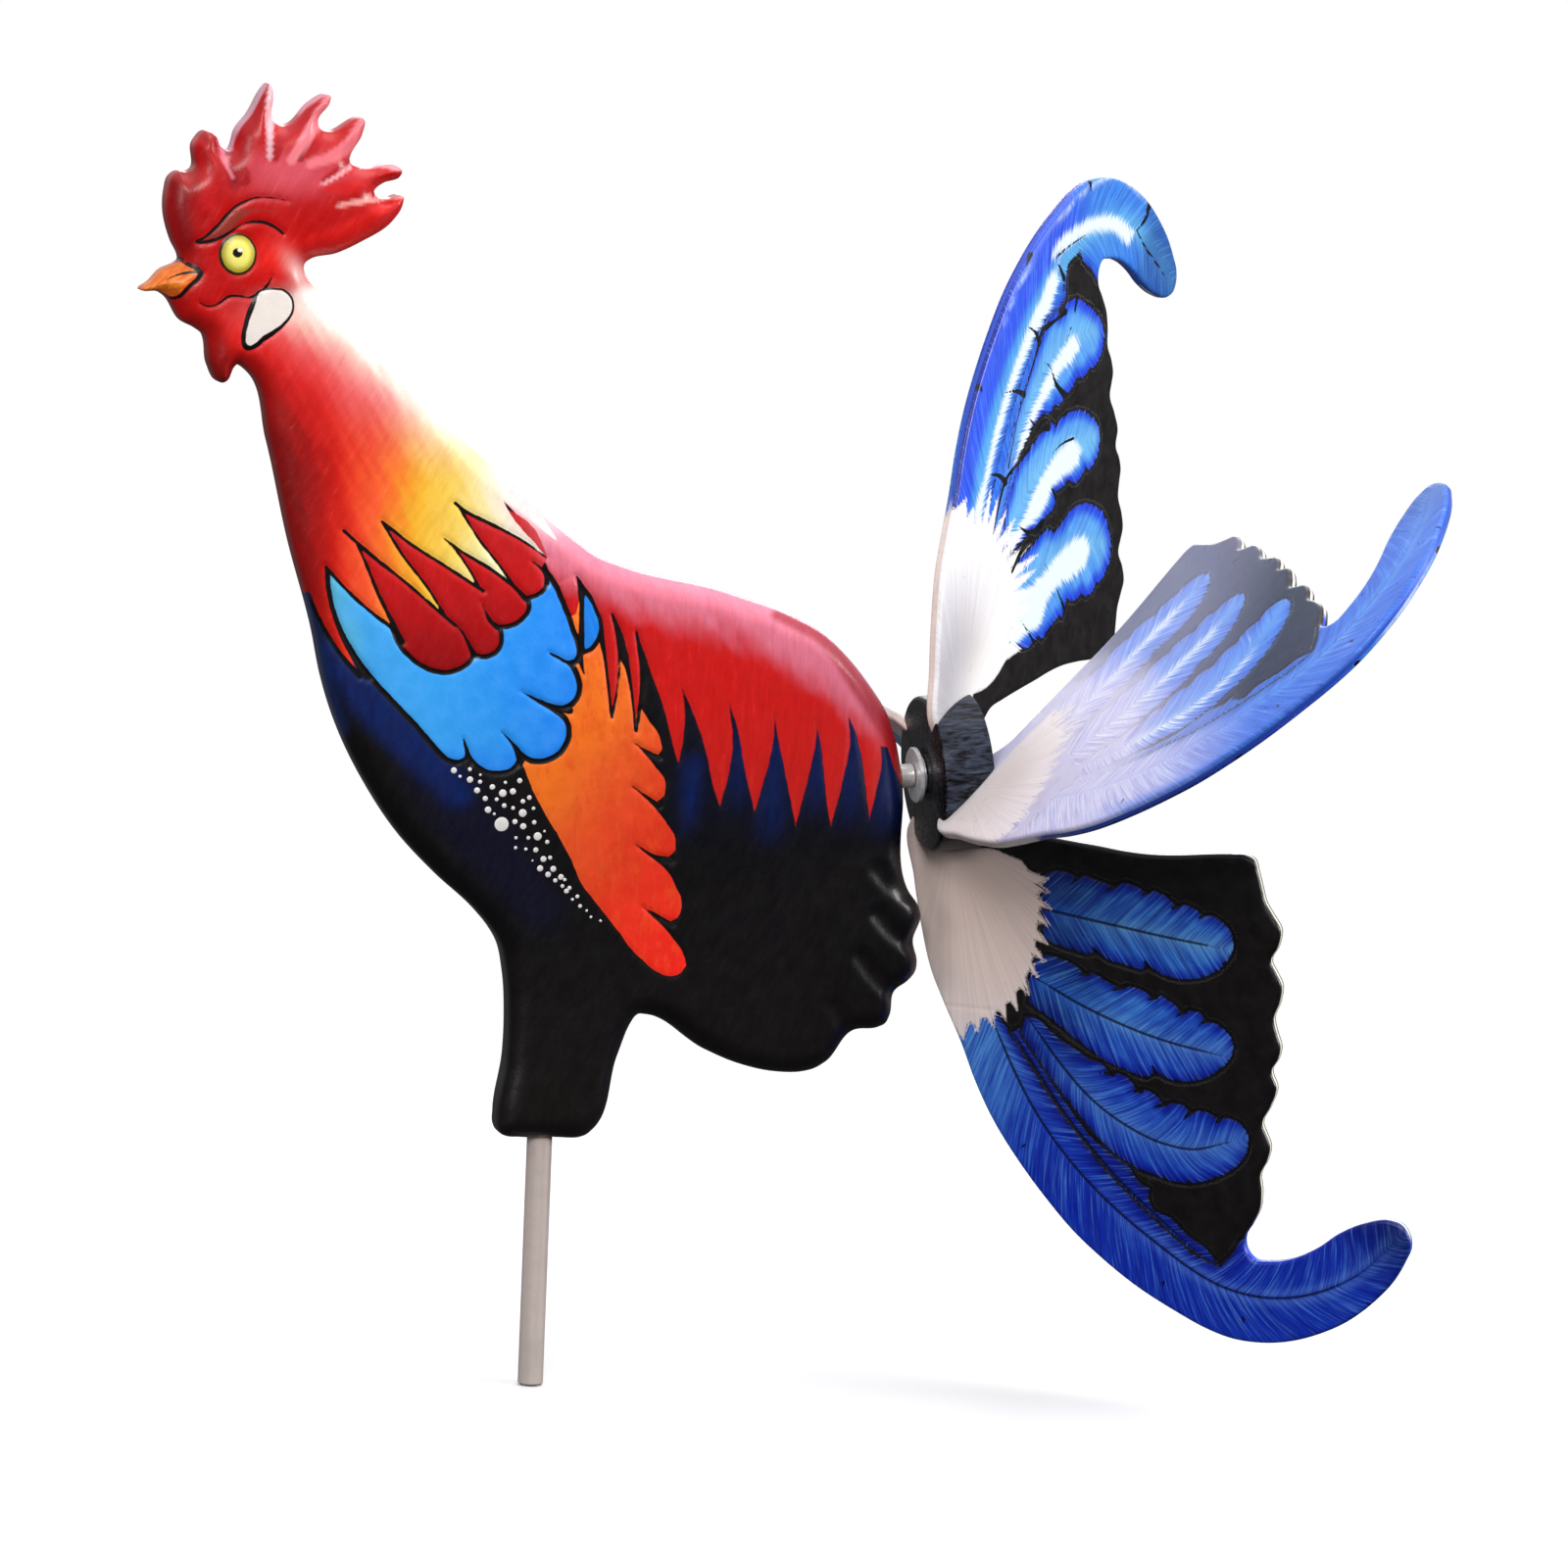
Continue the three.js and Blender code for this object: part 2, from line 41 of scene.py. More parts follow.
# ------------------------------------------------------------------ shapes
# rooster outline in its own plane (x, z), millimetres
OUTLINE = [
    (4.4, 94.9), (15.4, 95.2), (16.4, 95.6), (19.0, 97.7), (27.6, 126.1), (32.8, 139.3), (33.6, 140.5), (34.8, 141.4), (37.4, 141.3), (61.0, 127.9),
    (74.0, 122.4), (88.8, 119.1), (99.8, 119.1), (103.6, 120.0), (108.4, 122.7), (118.8, 134.7), (128.2, 135.8), (131.3, 137.3), (132.8, 140.3), (134.5, 149.9),
    (139.0, 153.3), (141.4, 155.9), (142.2, 157.3), (142.7, 160.5), (140.8, 169.1), (143.3, 179.3), (142.5, 181.9), (137.8, 188.7), (137.4, 189.5), (133.5, 231.1),
    (129.3, 248.3), (125.3, 257.5), (120.8, 263.9), (109.6, 277.1), (100.6, 284.9), (84.4, 293.2), (67.6, 298.7), (63.2, 300.1), (24.4, 308.7), (12.8, 312.8),
    (10.4, 314.0), (4.6, 318.0), (-38.6, 354.4), (-44.8, 359.2), (-51.0, 364.2), (-58.0, 370.1), (-64.8, 376.4), (-71.4, 383.0), (-77.8, 389.6), (-84.0, 396.2),
    (-90.2, 402.8), (-96.2, 409.4), (-100.3, 414.5), (-100.6, 416.1), (-100.3, 417.5), (-99.0, 418.6), (-88.6, 421.5), (-80.4, 425.5), (-68.4, 433.9), (-65.2, 439.1),
    (-64.8, 440.9), (-64.8, 442.9), (-65.2, 443.2), (-66.2, 443.3), (-70.2, 441.9), (-72.4, 441.8), (-75.2, 443.1), (-75.8, 444.3), (-75.2, 445.1), (-72.6, 447.1),
    (-66.4, 449.7), (-65.9, 450.5), (-65.7, 452.3), (-67.0, 453.7), (-68.4, 454.1), (-81.2, 452.8), (-84.9, 454.7), (-85.2, 455.3), (-85.1, 455.9), (-80.7, 464.9),
    (-80.2, 470.0), (-80.8, 470.8), (-81.6, 470.7), (-93.4, 465.2), (-94.2, 465.3), (-96.0, 466.3), (-96.8, 467.1), (-97.1, 468.3), (-93.0, 475.5), (-92.7, 477.5),
    (-93.0, 478.3), (-93.4, 478.6), (-94.4, 478.5), (-99.4, 475.6), (-108.4, 466.9), (-110.0, 466.6), (-112.4, 467.7), (-113.3, 468.5), (-113.8, 469.3), (-113.7, 476.9),
    (-114.7, 481.1), (-115.1, 481.5), (-115.6, 481.5), (-116.2, 480.9), (-122.4, 470.1), (-126.4, 464.7), (-128.1, 458.5), (-128.6, 457.5), (-129.6, 457.1), (-131.7, 458.1),
    (-134.6, 462.9), (-136.8, 463.8), (-137.8, 463.9), (-140.6, 461.5), (-141.7, 459.7), (-142.6, 449.7), (-143.6, 449.2), (-147.8, 449.0), (-149.8, 447.4), (-151.3, 442.1),
    (-151.6, 436.7), (-148.5, 424.1), (-145.7, 418.3), (-145.6, 417.5), (-146.4, 416.7), (-152.0, 413.9), (-156.6, 409.0), (-159.4, 406.9), (-159.8, 406.3), (-158.8, 406.0),
    (-153.4, 405.9), (-151.1, 404.7), (-144.2, 395.5), (-138.6, 392.7), (-136.1, 390.7), (-135.7, 389.7), (-133.9, 379.7), (-130.1, 373.9), (-128.8, 373.6), (-127.6, 374.2),
    (-124.7, 379.7), (-124.0, 380.4), (-123.4, 380.3), (-121.4, 379.3), (-119.2, 377.5), (-111.3, 353.1), (-102.2, 316.7), (-92.3, 283.7), (-88.5, 267.1), (-84.2, 253.9),
    (-78.5, 240.9), (-71.6, 228.5), (-57.8, 208.7), (-43.6, 194.1), (-27.6, 179.9), (-22.6, 174.1), (-18.7, 167.7), (-16.1, 157.1), (-14.6, 139.7), (-14.8, 125.7),
    (-17.6, 103.9), (-17.4, 98.9), (-16.5, 96.9), (-15.6, 96.2), (-8.2, 95.1),
]
# blade outline (radial, chordwise), millimetres
BLADE = [
    (10.36, 2.96), (10.36, -7.40), (22.20, -23.68), (42.55, -22.20), (61.42, -19.61), (79.55, -15.54), (90.28, -11.10), (106.56, -3.70), (120.25, 1.48), (133.94, 8.14),
    (152.81, 21.09), (164.65, 31.08), (175.75, 41.81), (185.74, 54.39), (194.25, 67.34), (202.76, 84.36), (207.94, 96.94), (210.53, 107.30), (210.90, 117.66), (209.05, 130.24),
    (203.87, 144.30), (198.32, 154.29), (188.70, 165.76), (180.19, 173.16), (172.42, 177.60), (167.24, 179.82), (162.06, 179.45), (158.36, 176.86), (156.88, 172.05), (159.10, 162.06),
    (165.02, 150.59), (170.94, 142.82), (176.49, 132.09), (178.34, 123.95), (177.97, 116.18), (174.64, 113.59), (170.20, 113.22), (165.02, 116.18), (158.36, 119.51), (151.70, 120.25),
    (145.04, 119.88), (139.12, 122.84), (133.57, 123.95), (129.50, 122.47), (125.80, 120.99), (118.40, 124.32), (111.00, 126.91), (104.34, 125.06), (99.90, 127.65), (95.09, 128.76),
    (89.91, 127.28), (84.73, 126.17), (77.70, 128.76), (71.04, 129.50), (66.60, 127.28), (62.90, 125.43), (56.61, 128.39), (50.32, 129.50), (45.14, 126.54), (40.33, 123.58),
    (34.78, 122.10), (28.86, 120.62), (24.42, 119.14), (22.94, 116.18), (22.94, 111.00), (23.68, 102.12), (25.16, 88.80), (25.90, 75.85), (25.53, 66.60), (24.42, 55.50),
    (23.31, 42.55), (21.83, 27.75), (20.72, 19.24),
]
BOARD_T, EDGE_R = 25.0, 8.0
BLADE_T, BLADE_EDGE = 4.5, 1.3
HUB = Vector((0.15937, 0.0, 0.23329))
TILT = math.radians(5.33)
PITCH = math.radians(43.96)
START = math.radians(3.18)
HUB_D, HUB_FRONT, HUB_REAR = 59.0, -16.65, 3.3


def cat(path, step, closed=True, corner=50.0):
    """smooth curve through points, sharp where the path turns more than corner degrees"""
    P = np.array(path, float)
    n = len(P)
    out = []
    last = n if closed else n - 1

    def tangent(i):
        a, b, c = P[i - 1], P[i], P[(i + 1) % n]
        u, v = b - a, c - b
        lu, lv = np.hypot(*u) + 1e-9, np.hypot(*v) + 1e-9
        turn = math.degrees(math.acos(max(-1, min(1, float(u @ v) / (lu * lv)))))
        if turn > corner:
            return None
        t = (u / lu) * lv + (v / lv) * lu
        return t / (np.hypot(*t) + 1e-9)

    for i in range(last):
        j = (i + 1) % n
        p, q = P[i], P[j]
        L = np.hypot(*(q - p))
        if L < 1e-6:
            continue
        chord = (q - p) / L
        a = tangent(i) if (closed or i > 0) else None
        b = tangent(j) if (closed or j < n - 1) else None
        a = chord if a is None else a
        b = chord if b is None else b
        k = max(1, int(math.ceil(L / step)))
        t = (np.arange(k) / k)[:, None]
        out.append((2 * t**3 - 3 * t**2 + 1) * p + (t**3 - 2 * t**2 + t) * a * L + (-2 * t**3 + 3 * t**2) * q + (t**3 - t**2) * b * L)
    if not closed:
        out.append(P[-1:])
    return np.concatenate(out)


def even(path, step, closed=True):
    """resampled at an even step"""
    Q = np.vstack([path, path[:1]]) if closed else np.asarray(path)
    s = np.concatenate([[0], np.cumsum(np.hypot(*np.diff(Q, axis=0).T))])
    k = max(3, int(round(s[-1] / step)))
    t = np.linspace(0, s[-1], k + 1)
    R = np.stack([np.interp(t, s, Q[:, 0]), np.interp(t, s, Q[:, 1])], 1)
    return R[:-1] if closed else R


def seg_dist(P, A, B, wa=None, wb=None, chunk=20000):
    """least distance of points to segments, less the half-width at the nearest place"""
    out = np.full(len(P), 1e9)
    E = B - A
    ee = (E * E).sum(1) + 1e-12
    rows = max(1, int(chunk * 100 / max(1, len(A))))
    for i in range(0, len(P), rows):
        p = P[i:i + rows]
        d = p[:, None, :] - A[None]
        t = np.clip((d * E[None]).sum(2) / ee, 0, 1)
        d -= t[..., None] * E[None]
        r = np.sqrt((d * d).sum(2))
        if wa is not None:
            r -= wa[None] + t * (wb - wa)[None]
        out[i:i + rows] = r.min(1)
    return out


def inside(P, poly, chunk=20000):
    A, B = poly, np.roll(poly, -1, 0)
    out = np.zeros(len(P), bool)
    rows = max(1, int(chunk * 100 / len(A)))
    dz = B[:, 1] - A[:, 1]
    dz = np.where(np.abs(dz) < 1e-12, 1e-12, dz)
    for i in range(0, len(P), rows):
        x, z = P[i:i + rows, 0][:, None], P[i:i + rows, 1][:, None]
        c = ((A[None, :, 1] > z) != (B[None, :, 1] > z)) & (x < (B[None, :, 0] - A[None, :, 0]) * (z - A[None, :, 1]) / dz[None] + A[None, :, 0])
        out[i:i + rows] = c.sum(1) % 2 == 1
    return out


FAR = 5.0


def sd_poly(P, poly):
    """signed distance to a closed shape, positive inside, clipped to FAR away from it"""
    lo, hi = poly.min(0) - FAR, poly.max(0) + FAR
    near = ((P > lo) & (P < hi)).all(1)
    out = np.full(len(P), -FAR)
    if near.any():
        Q = P[near]
        d = seg_dist(Q, poly, np.roll(poly, -1, 0))
        out[near] = np.clip(np.where(inside(Q, poly), d, -d), -FAR, 40)
    return out


def sd_stroke(P, pts, widths):
    """signed distance to a brush stroke of varying full width, positive inside"""
    pts = np.asarray(pts, float)
    w = np.interp(np.linspace(0, 1, len(pts)), np.linspace(0, 1, len(widths)), widths) / 2
    A, B = pts[:-1], pts[1:]
    lo, hi = pts.min(0) - FAR, pts.max(0) + FAR
    near = ((P > lo) & (P < hi)).all(1)
    out = np.full(len(P), -FAR)
    if near.any():
        out[near] = np.clip(-seg_dist(P[near], A, B, w[:-1], w[1:]), -FAR, FAR)
    return out


def stroke(pts, widths, corner=50.0):
    return (cat(pts, 0.8, closed=False, corner=corner), widths)


def smooth01(x):
    x = np.clip(x, 0, 1)
    return x * x * (3 - 2 * x)


def lin(c):
    """sRGB 0..1 to linear"""
    c = np.asarray(c, float)
    return np.where(c <= 0.04045, c / 12.92, ((c + 0.055) / 1.055) ** 2.4)


def ramp(t, stops):
    """colour ramp given in sRGB, returned linear"""
    x = [s[0] for s in stops]
    c = lin([s[1] for s in stops])
    return np.stack([np.interp(t, x, c[:, k]) for k in range(3)], 1)


def over(base, colour, f):
    f = np.asarray(f)[:, None]
    return base * (1 - f) + np.asarray(colour) * f


def vnoise(P, scale, seed):
    """smooth value noise, 0..1, on 2-D points"""
    rng = np.random.RandomState(seed)
    tab = rng.rand(256, 256)
    q = P / scale + 1000
    i = np.floor(q).astype(int)
    f = q - i
    f = f * f * (3 - 2 * f)
    g = lambda a, b: tab[(i[:, 0] + a) % 256, (i[:, 1] + b) % 256]
    return (g(0, 0) * (1 - f[:, 0]) + g(1, 0) * f[:, 0]) * (1 - f[:, 1]) + (g(0, 1) * (1 - f[:, 0]) + g(1, 1) * f[:, 0]) * f[:, 1]


# ------------------------------------------------------------------ plates
def plate_points(outline, ring_in, weight, fine, edge_zone):
    """points of a plate's face: even rings near the rim, then a lattice that is fine where weight says so.
    weight(P) is the distance to the nearest painted line."""
    rim = outline
    n = len(rim)
    tree = kdtree.KDTree(n)
    for i, p in enumerate(rim):
        tree.insert((p[0], p[1], 0), i)
    tree.balance()

    def depth(P):
        idx = np.array([tree.find((x, z, 0))[1] for x, z in P])
        d = np.full(len(P), 1e9)
        for a, b in ((-1, 0), (0, 1)):
            A, B = rim[(idx + a) % n], rim[(idx + b) % n]
            E = B - A
            t = np.clip(((P - A) * E).sum(1) / ((E * E).sum(1) + 1e-12), 0, 1)
            d = np.minimum(d, np.hypot(*(P - A - t[:, None] * E).T))
        return d

    pts, deps = [rim], [np.zeros(n)]
    T = np.roll(rim, -1, 0) - np.roll(rim, 1, 0)
    T /= np.hypot(*T.T)[:, None] + 1e-9
    N = np.stack([-T[:, 1], T[:, 0]], 1)          # inward on a counter-clockwise rim
    for d0 in ring_in:
        R = rim + N * d0
        d = depth(R)
        ok = inside(R, rim) & (d > d0 * 0.86)
        R, d = R[ok], d[ok]
        pts.append(R); deps.append(d)
    last = ring_in[-1]
    lo, hi = rim.min(0), rim.max(0)
    h = fine * math.sqrt(3) / 2
    ii, jj = np.meshgrid(np.arange(int((hi[0] - lo[0]) / fine) + 2), np.arange(int((hi[1] - lo[1]) / h) + 2))
    ii, jj = ii.ravel(), jj.ravel()
    G = np.stack([lo[0] + (ii + 0.5 * (jj % 2)) * fine, lo[1] + jj * h], 1)
    keep = inside(G, rim)
    G, ii, jj = G[keep], ii[keep], jj[keep]
    d = depth(G)
    w = weight(G)
    s2 = (jj % 2 == 0) & ((ii + (jj // 2) % 2) % 2 == 0)
    s4 = (jj % 4 == 0) & ((ii + 2 * ((jj // 4) % 2)) % 4 == 0)
    take = (w < fine * 1.9) | (s2 & ((w < fine * 5.5) | (d < edge_zone))) | s4
    take &= d > last + fine * 0.55
    pts.append(G[take]); deps.append(d[take])
    P, D = np.concatenate(pts), np.concatenate(deps)
    return P, D, n


def plate_faces(P, n):
    """triangles of the face, counter-clockwise in its plane, inside the rim"""
    edges = [(i, (i + 1) % n) for i in range(n)]
    vs, _, fs, ov, _, _ = delaunay_2d_cdt([Vector((float(x), float(z))) for x, z in P], edges, [], 0, 1e-6)
    assert len(vs) == len(P), (len(vs), len(P))
    F = np.array([[f[0], f[1], f[2]] for f in fs])
    remap = np.array([o[0] for o in ov])
    F = remap[F]
    c = P[F].mean(1)
    A, B, C = P[F[:, 0]], P[F[:, 1]], P[F[:, 2]]
    area = (B[:, 0] - A[:, 0]) * (C[:, 1] - A[:, 1]) - (B[:, 1] - A[:, 1]) * (C[:, 0] - A[:, 0])
    F[area < 0] = F[area < 0][:, [0, 2, 1]]
    keep = inside(c, P[:n]) & (np.abs(area) > 1e-7)
    return F[keep]


def plate_mesh(name, P, F, n, front, back, mids, place, fields_front, fields_back, fields_side=None):
    """closed plate: front and back surfaces at heights -front and +back, rim wall with mid loops.
    place(x, z, y) gives the object coordinates in metres. fields_front and fields_back map a name to a value per
    plate point; fields_side is not used."""
    m = len(P)
    V = [np.column_stack([P, -front]), np.column_stack([P, back])]
    rimf, rimb = -front[:n], back[:n]
    for k in range(mids):
        t = (k + 1) / (mids + 1)
        V.append(np.column_stack([P[:n], rimf * (1 - t) + rimb * t]))
    V = np.concatenate(V)
    faces = [F, F[:, [0, 2, 1]] + m]
    loops = [np.arange(n)] + [2 * m + k * n + np.arange(n) for k in range(mids)] + [m + np.arange(n)]
    for a, b in zip(loops[:-1], loops[1:]):
        a2, b2 = np.roll(a, -1), np.roll(b, -1)
        faces.append(np.column_stack([a, b, b2]))
        faces.append(np.column_stack([a, b2, a2]))
    T = np.concatenate(faces)
    X = place(V[:, 0], V[:, 1], V[:, 2])
    me = bpy.data.meshes.new(name)
    me.vertices.add(len(X)); me.vertices.foreach_set("co", X.astype(np.float32).ravel())
    me.loops.add(T.size); me.loops.foreach_set("vertex_index", T.astype(np.int32).ravel())
    me.polygons.add(len(T)); me.polygons.foreach_set("loop_start", (np.arange(len(T)) * 3).astype(np.int32))
    me.update(calc_edges=True)
    me.validate()
    me.shade_smooth()
    at = me.attributes.new("sWall", "FLOAT", "POINT")
    at.data.foreach_set("value", np.concatenate([np.zeros(2 * m), np.ones(mids * n)]).astype(np.float32))
    for key in fields_front:
        a, b = fields_front[key], fields_back[key]
        parts = [a, b]
        for k in range(mids):
            t = (k + 1) / (mids + 1)
            parts.append(a[:n] * (1 - t) + b[:n] * t)
        v = np.concatenate(parts)
        if v.ndim == 1:
            at = me.attributes.new(key, "FLOAT", "POINT")
            at.data.foreach_set("value", v.astype(np.float32))
        else:
            at = me.attributes.new(key, "FLOAT_COLOR", "POINT")
            at.data.foreach_set("color", np.column_stack([v, np.ones(len(v))]).astype(np.float32).ravel())
    ob = bpy.data.objects.new(name, me)
    bpy.context.scene.collection.objects.link(ob)
    return ob

# ------------------------------------------------------------------ rooster paint
# Shapes painted on the rooster's face, (x, z) in millimetres on the flat of the board.
WING = cat([(-14.4, 236.3), (-10, 245), (-2, 262), (0, 285), (-5, 303), (2, 306.5), (6, 300), (9.5, 290), (12.5, 282.5), (14.5, 276),
    (16.5, 265), (18.3, 254.5), (19.8, 262), (20.3, 273), (20.8, 275.8), (22.3, 273.5), (24.5, 267), (26.3, 258), (27.6, 251.5), (28.6, 256.3),
    (29.7, 257.2), (32.5, 253.3), (36.7, 247.5), (38.3, 242.5), (36.7, 240), (32.5, 241.3), (28.7, 243.7), (35.8, 235.8), (40, 230), (40, 225),
    (37, 222.5), (33.3, 224.2), (28.7, 227.5), (36.7, 220), (40.8, 215), (44.2, 210), (45, 204.5), (42.5, 201.9), (37.5, 202.7), (30.8, 205.8),
    (36.7, 201), (41.7, 197), (45.8, 190.5), (48, 185), (47, 179.4), (44.2, 177.4), (40, 179), (34.2, 182.5), (37.5, 179), (41.7, 175.5),
    (45.8, 170.8), (49.7, 165), (50.8, 160.8), (48.3, 157.7), (45, 157), (40, 158.3), (35, 162.3), (30, 166.9), (25, 173.1), (20, 179.4),
    (15, 185), (10, 191.3), (5, 201.3), (0, 210), (-5, 217.5), (-10, 226.3)], 0.8, corner=48)
SADDLE = cat([(-40, 345), (-20, 328), (-9, 311.5), (-7, 307), (-3.2, 300.8), (-0.6, 295.5), (1.6, 291.4), (3.6, 292.5), (4.6, 297), (4.4, 301), (8, 299.5), (12, 293.5), (14, 289), (14.6, 284), (16.0, 275), (17.4, 266), (19, 255.5),
    (20.2, 264), (20.4, 273), (19.2, 283), (17.6, 291.5), (20.5, 287), (22.8, 280), (25.2, 270), (27.8, 252.5), (29.2, 262), (28.7, 272), (26.9, 285),
    (30, 278.5), (33.6, 269), (37, 261), (39.6, 253.5), (42, 245), (44.7, 236.7), (46.2, 246.7), (46.3, 256.7), (44.7, 265.8),
    (50, 255), (55, 241.7), (58.3, 228.8), (61.3, 220.8), (63.7, 231.7), (65.2, 243.3), (63.3, 259.2), (66.9, 250), (70, 236), (72.5, 226.7),
    (74.7, 219.0), (77.5, 229.5), (79.9, 240), (80.9, 249.2), (80.6, 255.5), (83.3, 243.9), (86.7, 230.5), (89.2, 220.5), (90.8, 213.5), (93.3, 225),
    (95.6, 235.5), (97.2, 246.7), (97, 253.2), (99.3, 243.8), (101.3, 230.8), (103, 220.5), (104.5, 214), (106.9, 224), (109.4, 236.7), (110.5, 246),
    (109.2, 256), (113.3, 246.7), (116.5, 233.8), (118.2, 223), (119.4, 216.5), (121.7, 228.3), (123.2, 238.3), (122.4, 244), (125.2, 243.5),
    (129.2, 233.6), (131.9, 229), (136, 226), (150, 240), (150, 300), (60, 340)], 0.8, corner=45)
BLUE = cat([(-88.8, 306.2), (-80, 300), (-60, 300), (-30, 305), (-12, 309), (-8.3, 306), (-5.5, 302), (-3, 296.8), (-0.3, 291), (1.5, 286.3), (3.6, 281.2), (4.3, 277.7),
    (3.4, 275.2), (0.8, 274.6), (-2, 275.6), (-5.6, 277.5), (-1.5, 275.6), (1.9, 272.5), (4.2, 268.5), (4.8, 264), (3.1, 260.1), (-0.3, 258.3), (-4.2, 258.8), (-9.5, 260.6),
    (-15.6, 263.1), (-10.5, 259.8), (-3.1, 255.3), (-0.2, 253.1), (1.5, 248.8), (0.7, 244.4), (-2.5, 240.5), (-7.5, 238.6), (-11.9, 239.1), (-14.4, 240.8),
    (-17.5, 243.6), (-22.5, 248.1), (-18.8, 244.6), (-16.9, 241.3), (-16.6, 238.2), (-18.9, 235.2), (-23.8, 233.9), (-30, 235.6), (-33.4, 238.8), (-35, 241.6), (-36.9, 245.4),
    (-36, 241.2), (-36.4, 238.9), (-38.8, 237.9), (-41.9, 238.5), (-46.3, 242.3), (-52.5, 249.2), (-60, 256.7), (-67.5, 264.2), (-73.8, 271.1),
    (-78.5, 277.5), (-82.8, 284.5), (-86.4, 293), (-88.1, 300)], 0.8, corner=48)
BLUE2 = cat([(6.8, 299.4), (8.8, 297.2), (10.6, 293.2), (12.4, 288.8), (12.3, 285.6), (10.6, 281.9), (8.7, 279.7), (7.3, 279.1), (7.1, 284.3), (6.7, 290.0), (6.4, 295.6)], 0.7, corner=60)
NECK = cat([(-108, 300), (-96.6, 299.2), (-92.5, 290), (-86.4, 280.3), (-77.3, 270.4), (-80.4, 276), (-84.2, 283), (-87.2, 290.5), (-89.4, 299), (-90.1, 307.6),
    (-80.3, 298), (-72, 291.2), (-63.6, 285.4), (-71.3, 300), (-76, 310.5), (-79.4, 317.5), (-83.4, 321), (-75, 313.8), (-60, 302.5), (-44.2, 289.6),
    (-52.5, 301.3), (-61.9, 312.7), (-70, 324.8), (-60, 317.6), (-47.5, 310), (-33.0, 301.1), (-37.5, 308.6), (-42.5, 315.2), (-46.8, 319.2),
    (-38.8, 313.8), (-30, 308.9), (-19.9, 302.0), (-26.3, 310.2), (-33.8, 319.1), (-42.1, 331.4), (-30, 325), (-17.5, 318.9), (-7.8, 312.3),
    (-13.8, 318.9), (-20, 325.3), (-26.2, 334.2), (-17.5, 328.3), (-3.8, 318.3), (-9, 325.5), (-15.6, 336), (-10, 348), (-40, 375), (-66, 404), (-50, 425),
    (-50, 470), (-85, 500), (-130, 500), (-178, 470), (-178, 385), (-140, 352), (-120, 325)], 0.8, corner=40)
HACKLE = cat([(-63.9, 285.9), (-62.2, 281.8), (-57.8, 276.6), (-50.5, 272.1), (-43.8, 271.1), (-37.7, 273.6), (-34.4, 277.7), (-30, 276.9), (-26.2, 279), (-25, 283),
    (-26.5, 287.9), (-22.3, 288.2), (-17.5, 290.5), (-15.3, 294), (-16.1, 298.4), (-13, 299.4), (-9.7, 301.7), (-8.7, 305), (-10, 308.5), (-8, 313),
    (-14, 324), (-28, 332), (-42, 334), (-60, 323), (-84, 322), (-76, 302)], 0.8, corner=50)
EARLOBE = cat([(-117.4, 407.1), (-115, 407.8), (-112, 408.1), (-109.3, 407.6), (-107.0, 405.5), (-105.9, 402.4), (-106.7, 399.2), (-109, 396.5), (-112.5, 393.8), (-116, 391.5),
    (-119, 388.9), (-120.9, 387.9), (-122.0, 388.8), (-122.2, 391.5), (-121.7, 395), (-120.5, 399), (-119.1, 403.2)], 0.5, corner=70)
EARLOBE_EDGE = cat([(-118.2, 407.6), (-115.5, 408.6), (-112, 408.9), (-108.8, 408.3), (-106.2, 406), (-105.0, 402.4), (-105.8, 398.8), (-108.1, 395.6), (-111.2, 392.6), (-115.1, 389.9),
    (-118.6, 387), (-121.2, 386), (-123.2, 387), (-124.0, 389.7), (-123.6, 394), (-122.6, 398.6), (-121.1, 402.8), (-119.6, 405.9)], 0.5, corner=70)
BROW = cat([(-139, 425.3), (-134.2, 429.6), (-130.6, 434), (-127.5, 437.1), (-124, 439.2), (-120, 440.6), (-115, 440.7), (-108, 439.8), (-108, 432), (-113, 431), (-117, 432), (-122, 432),
    (-125, 431.2), (-128, 429), (-132, 426.4), (-136, 425)], 0.6)
BEAK = cat([(-163.9, 406.9), (-161.5, 408.8), (-159, 411.2), (-156, 414.5), (-152, 417.1), (-149, 417.8), (-147.2, 417.7), (-145, 416.9), (-142.6, 415.7), (-140.6, 414.3), (-140.3, 413.6),
    (-141, 412), (-143, 410.2), (-145, 408.3), (-147, 406.1), (-148.7, 405.3), (-151, 405.4), (-153, 406.3), (-155.5, 406.8), (-158.6, 406.8)], 0.5, corner=60)
t = np.linspace(0, 2 * np.pi, 48, endpoint=False)
EYE = np.column_stack([-126.05 + 6.0 * np.cos(t), 420.6 + 6.55 * np.sin(t)])
EYE_RIM = np.column_stack([-126.15 + 6.95 * np.cos(t), 420.5 + 7.5 * np.sin(t)])
PUPIL = np.column_stack([-126.5 + 1.85 * np.cos(t), 420.95 + 1.75 * np.sin(t)])
GLINT = np.column_stack([-125.55 + 0.95 * np.cos(t), 422.1 + 0.8 * np.sin(t)])

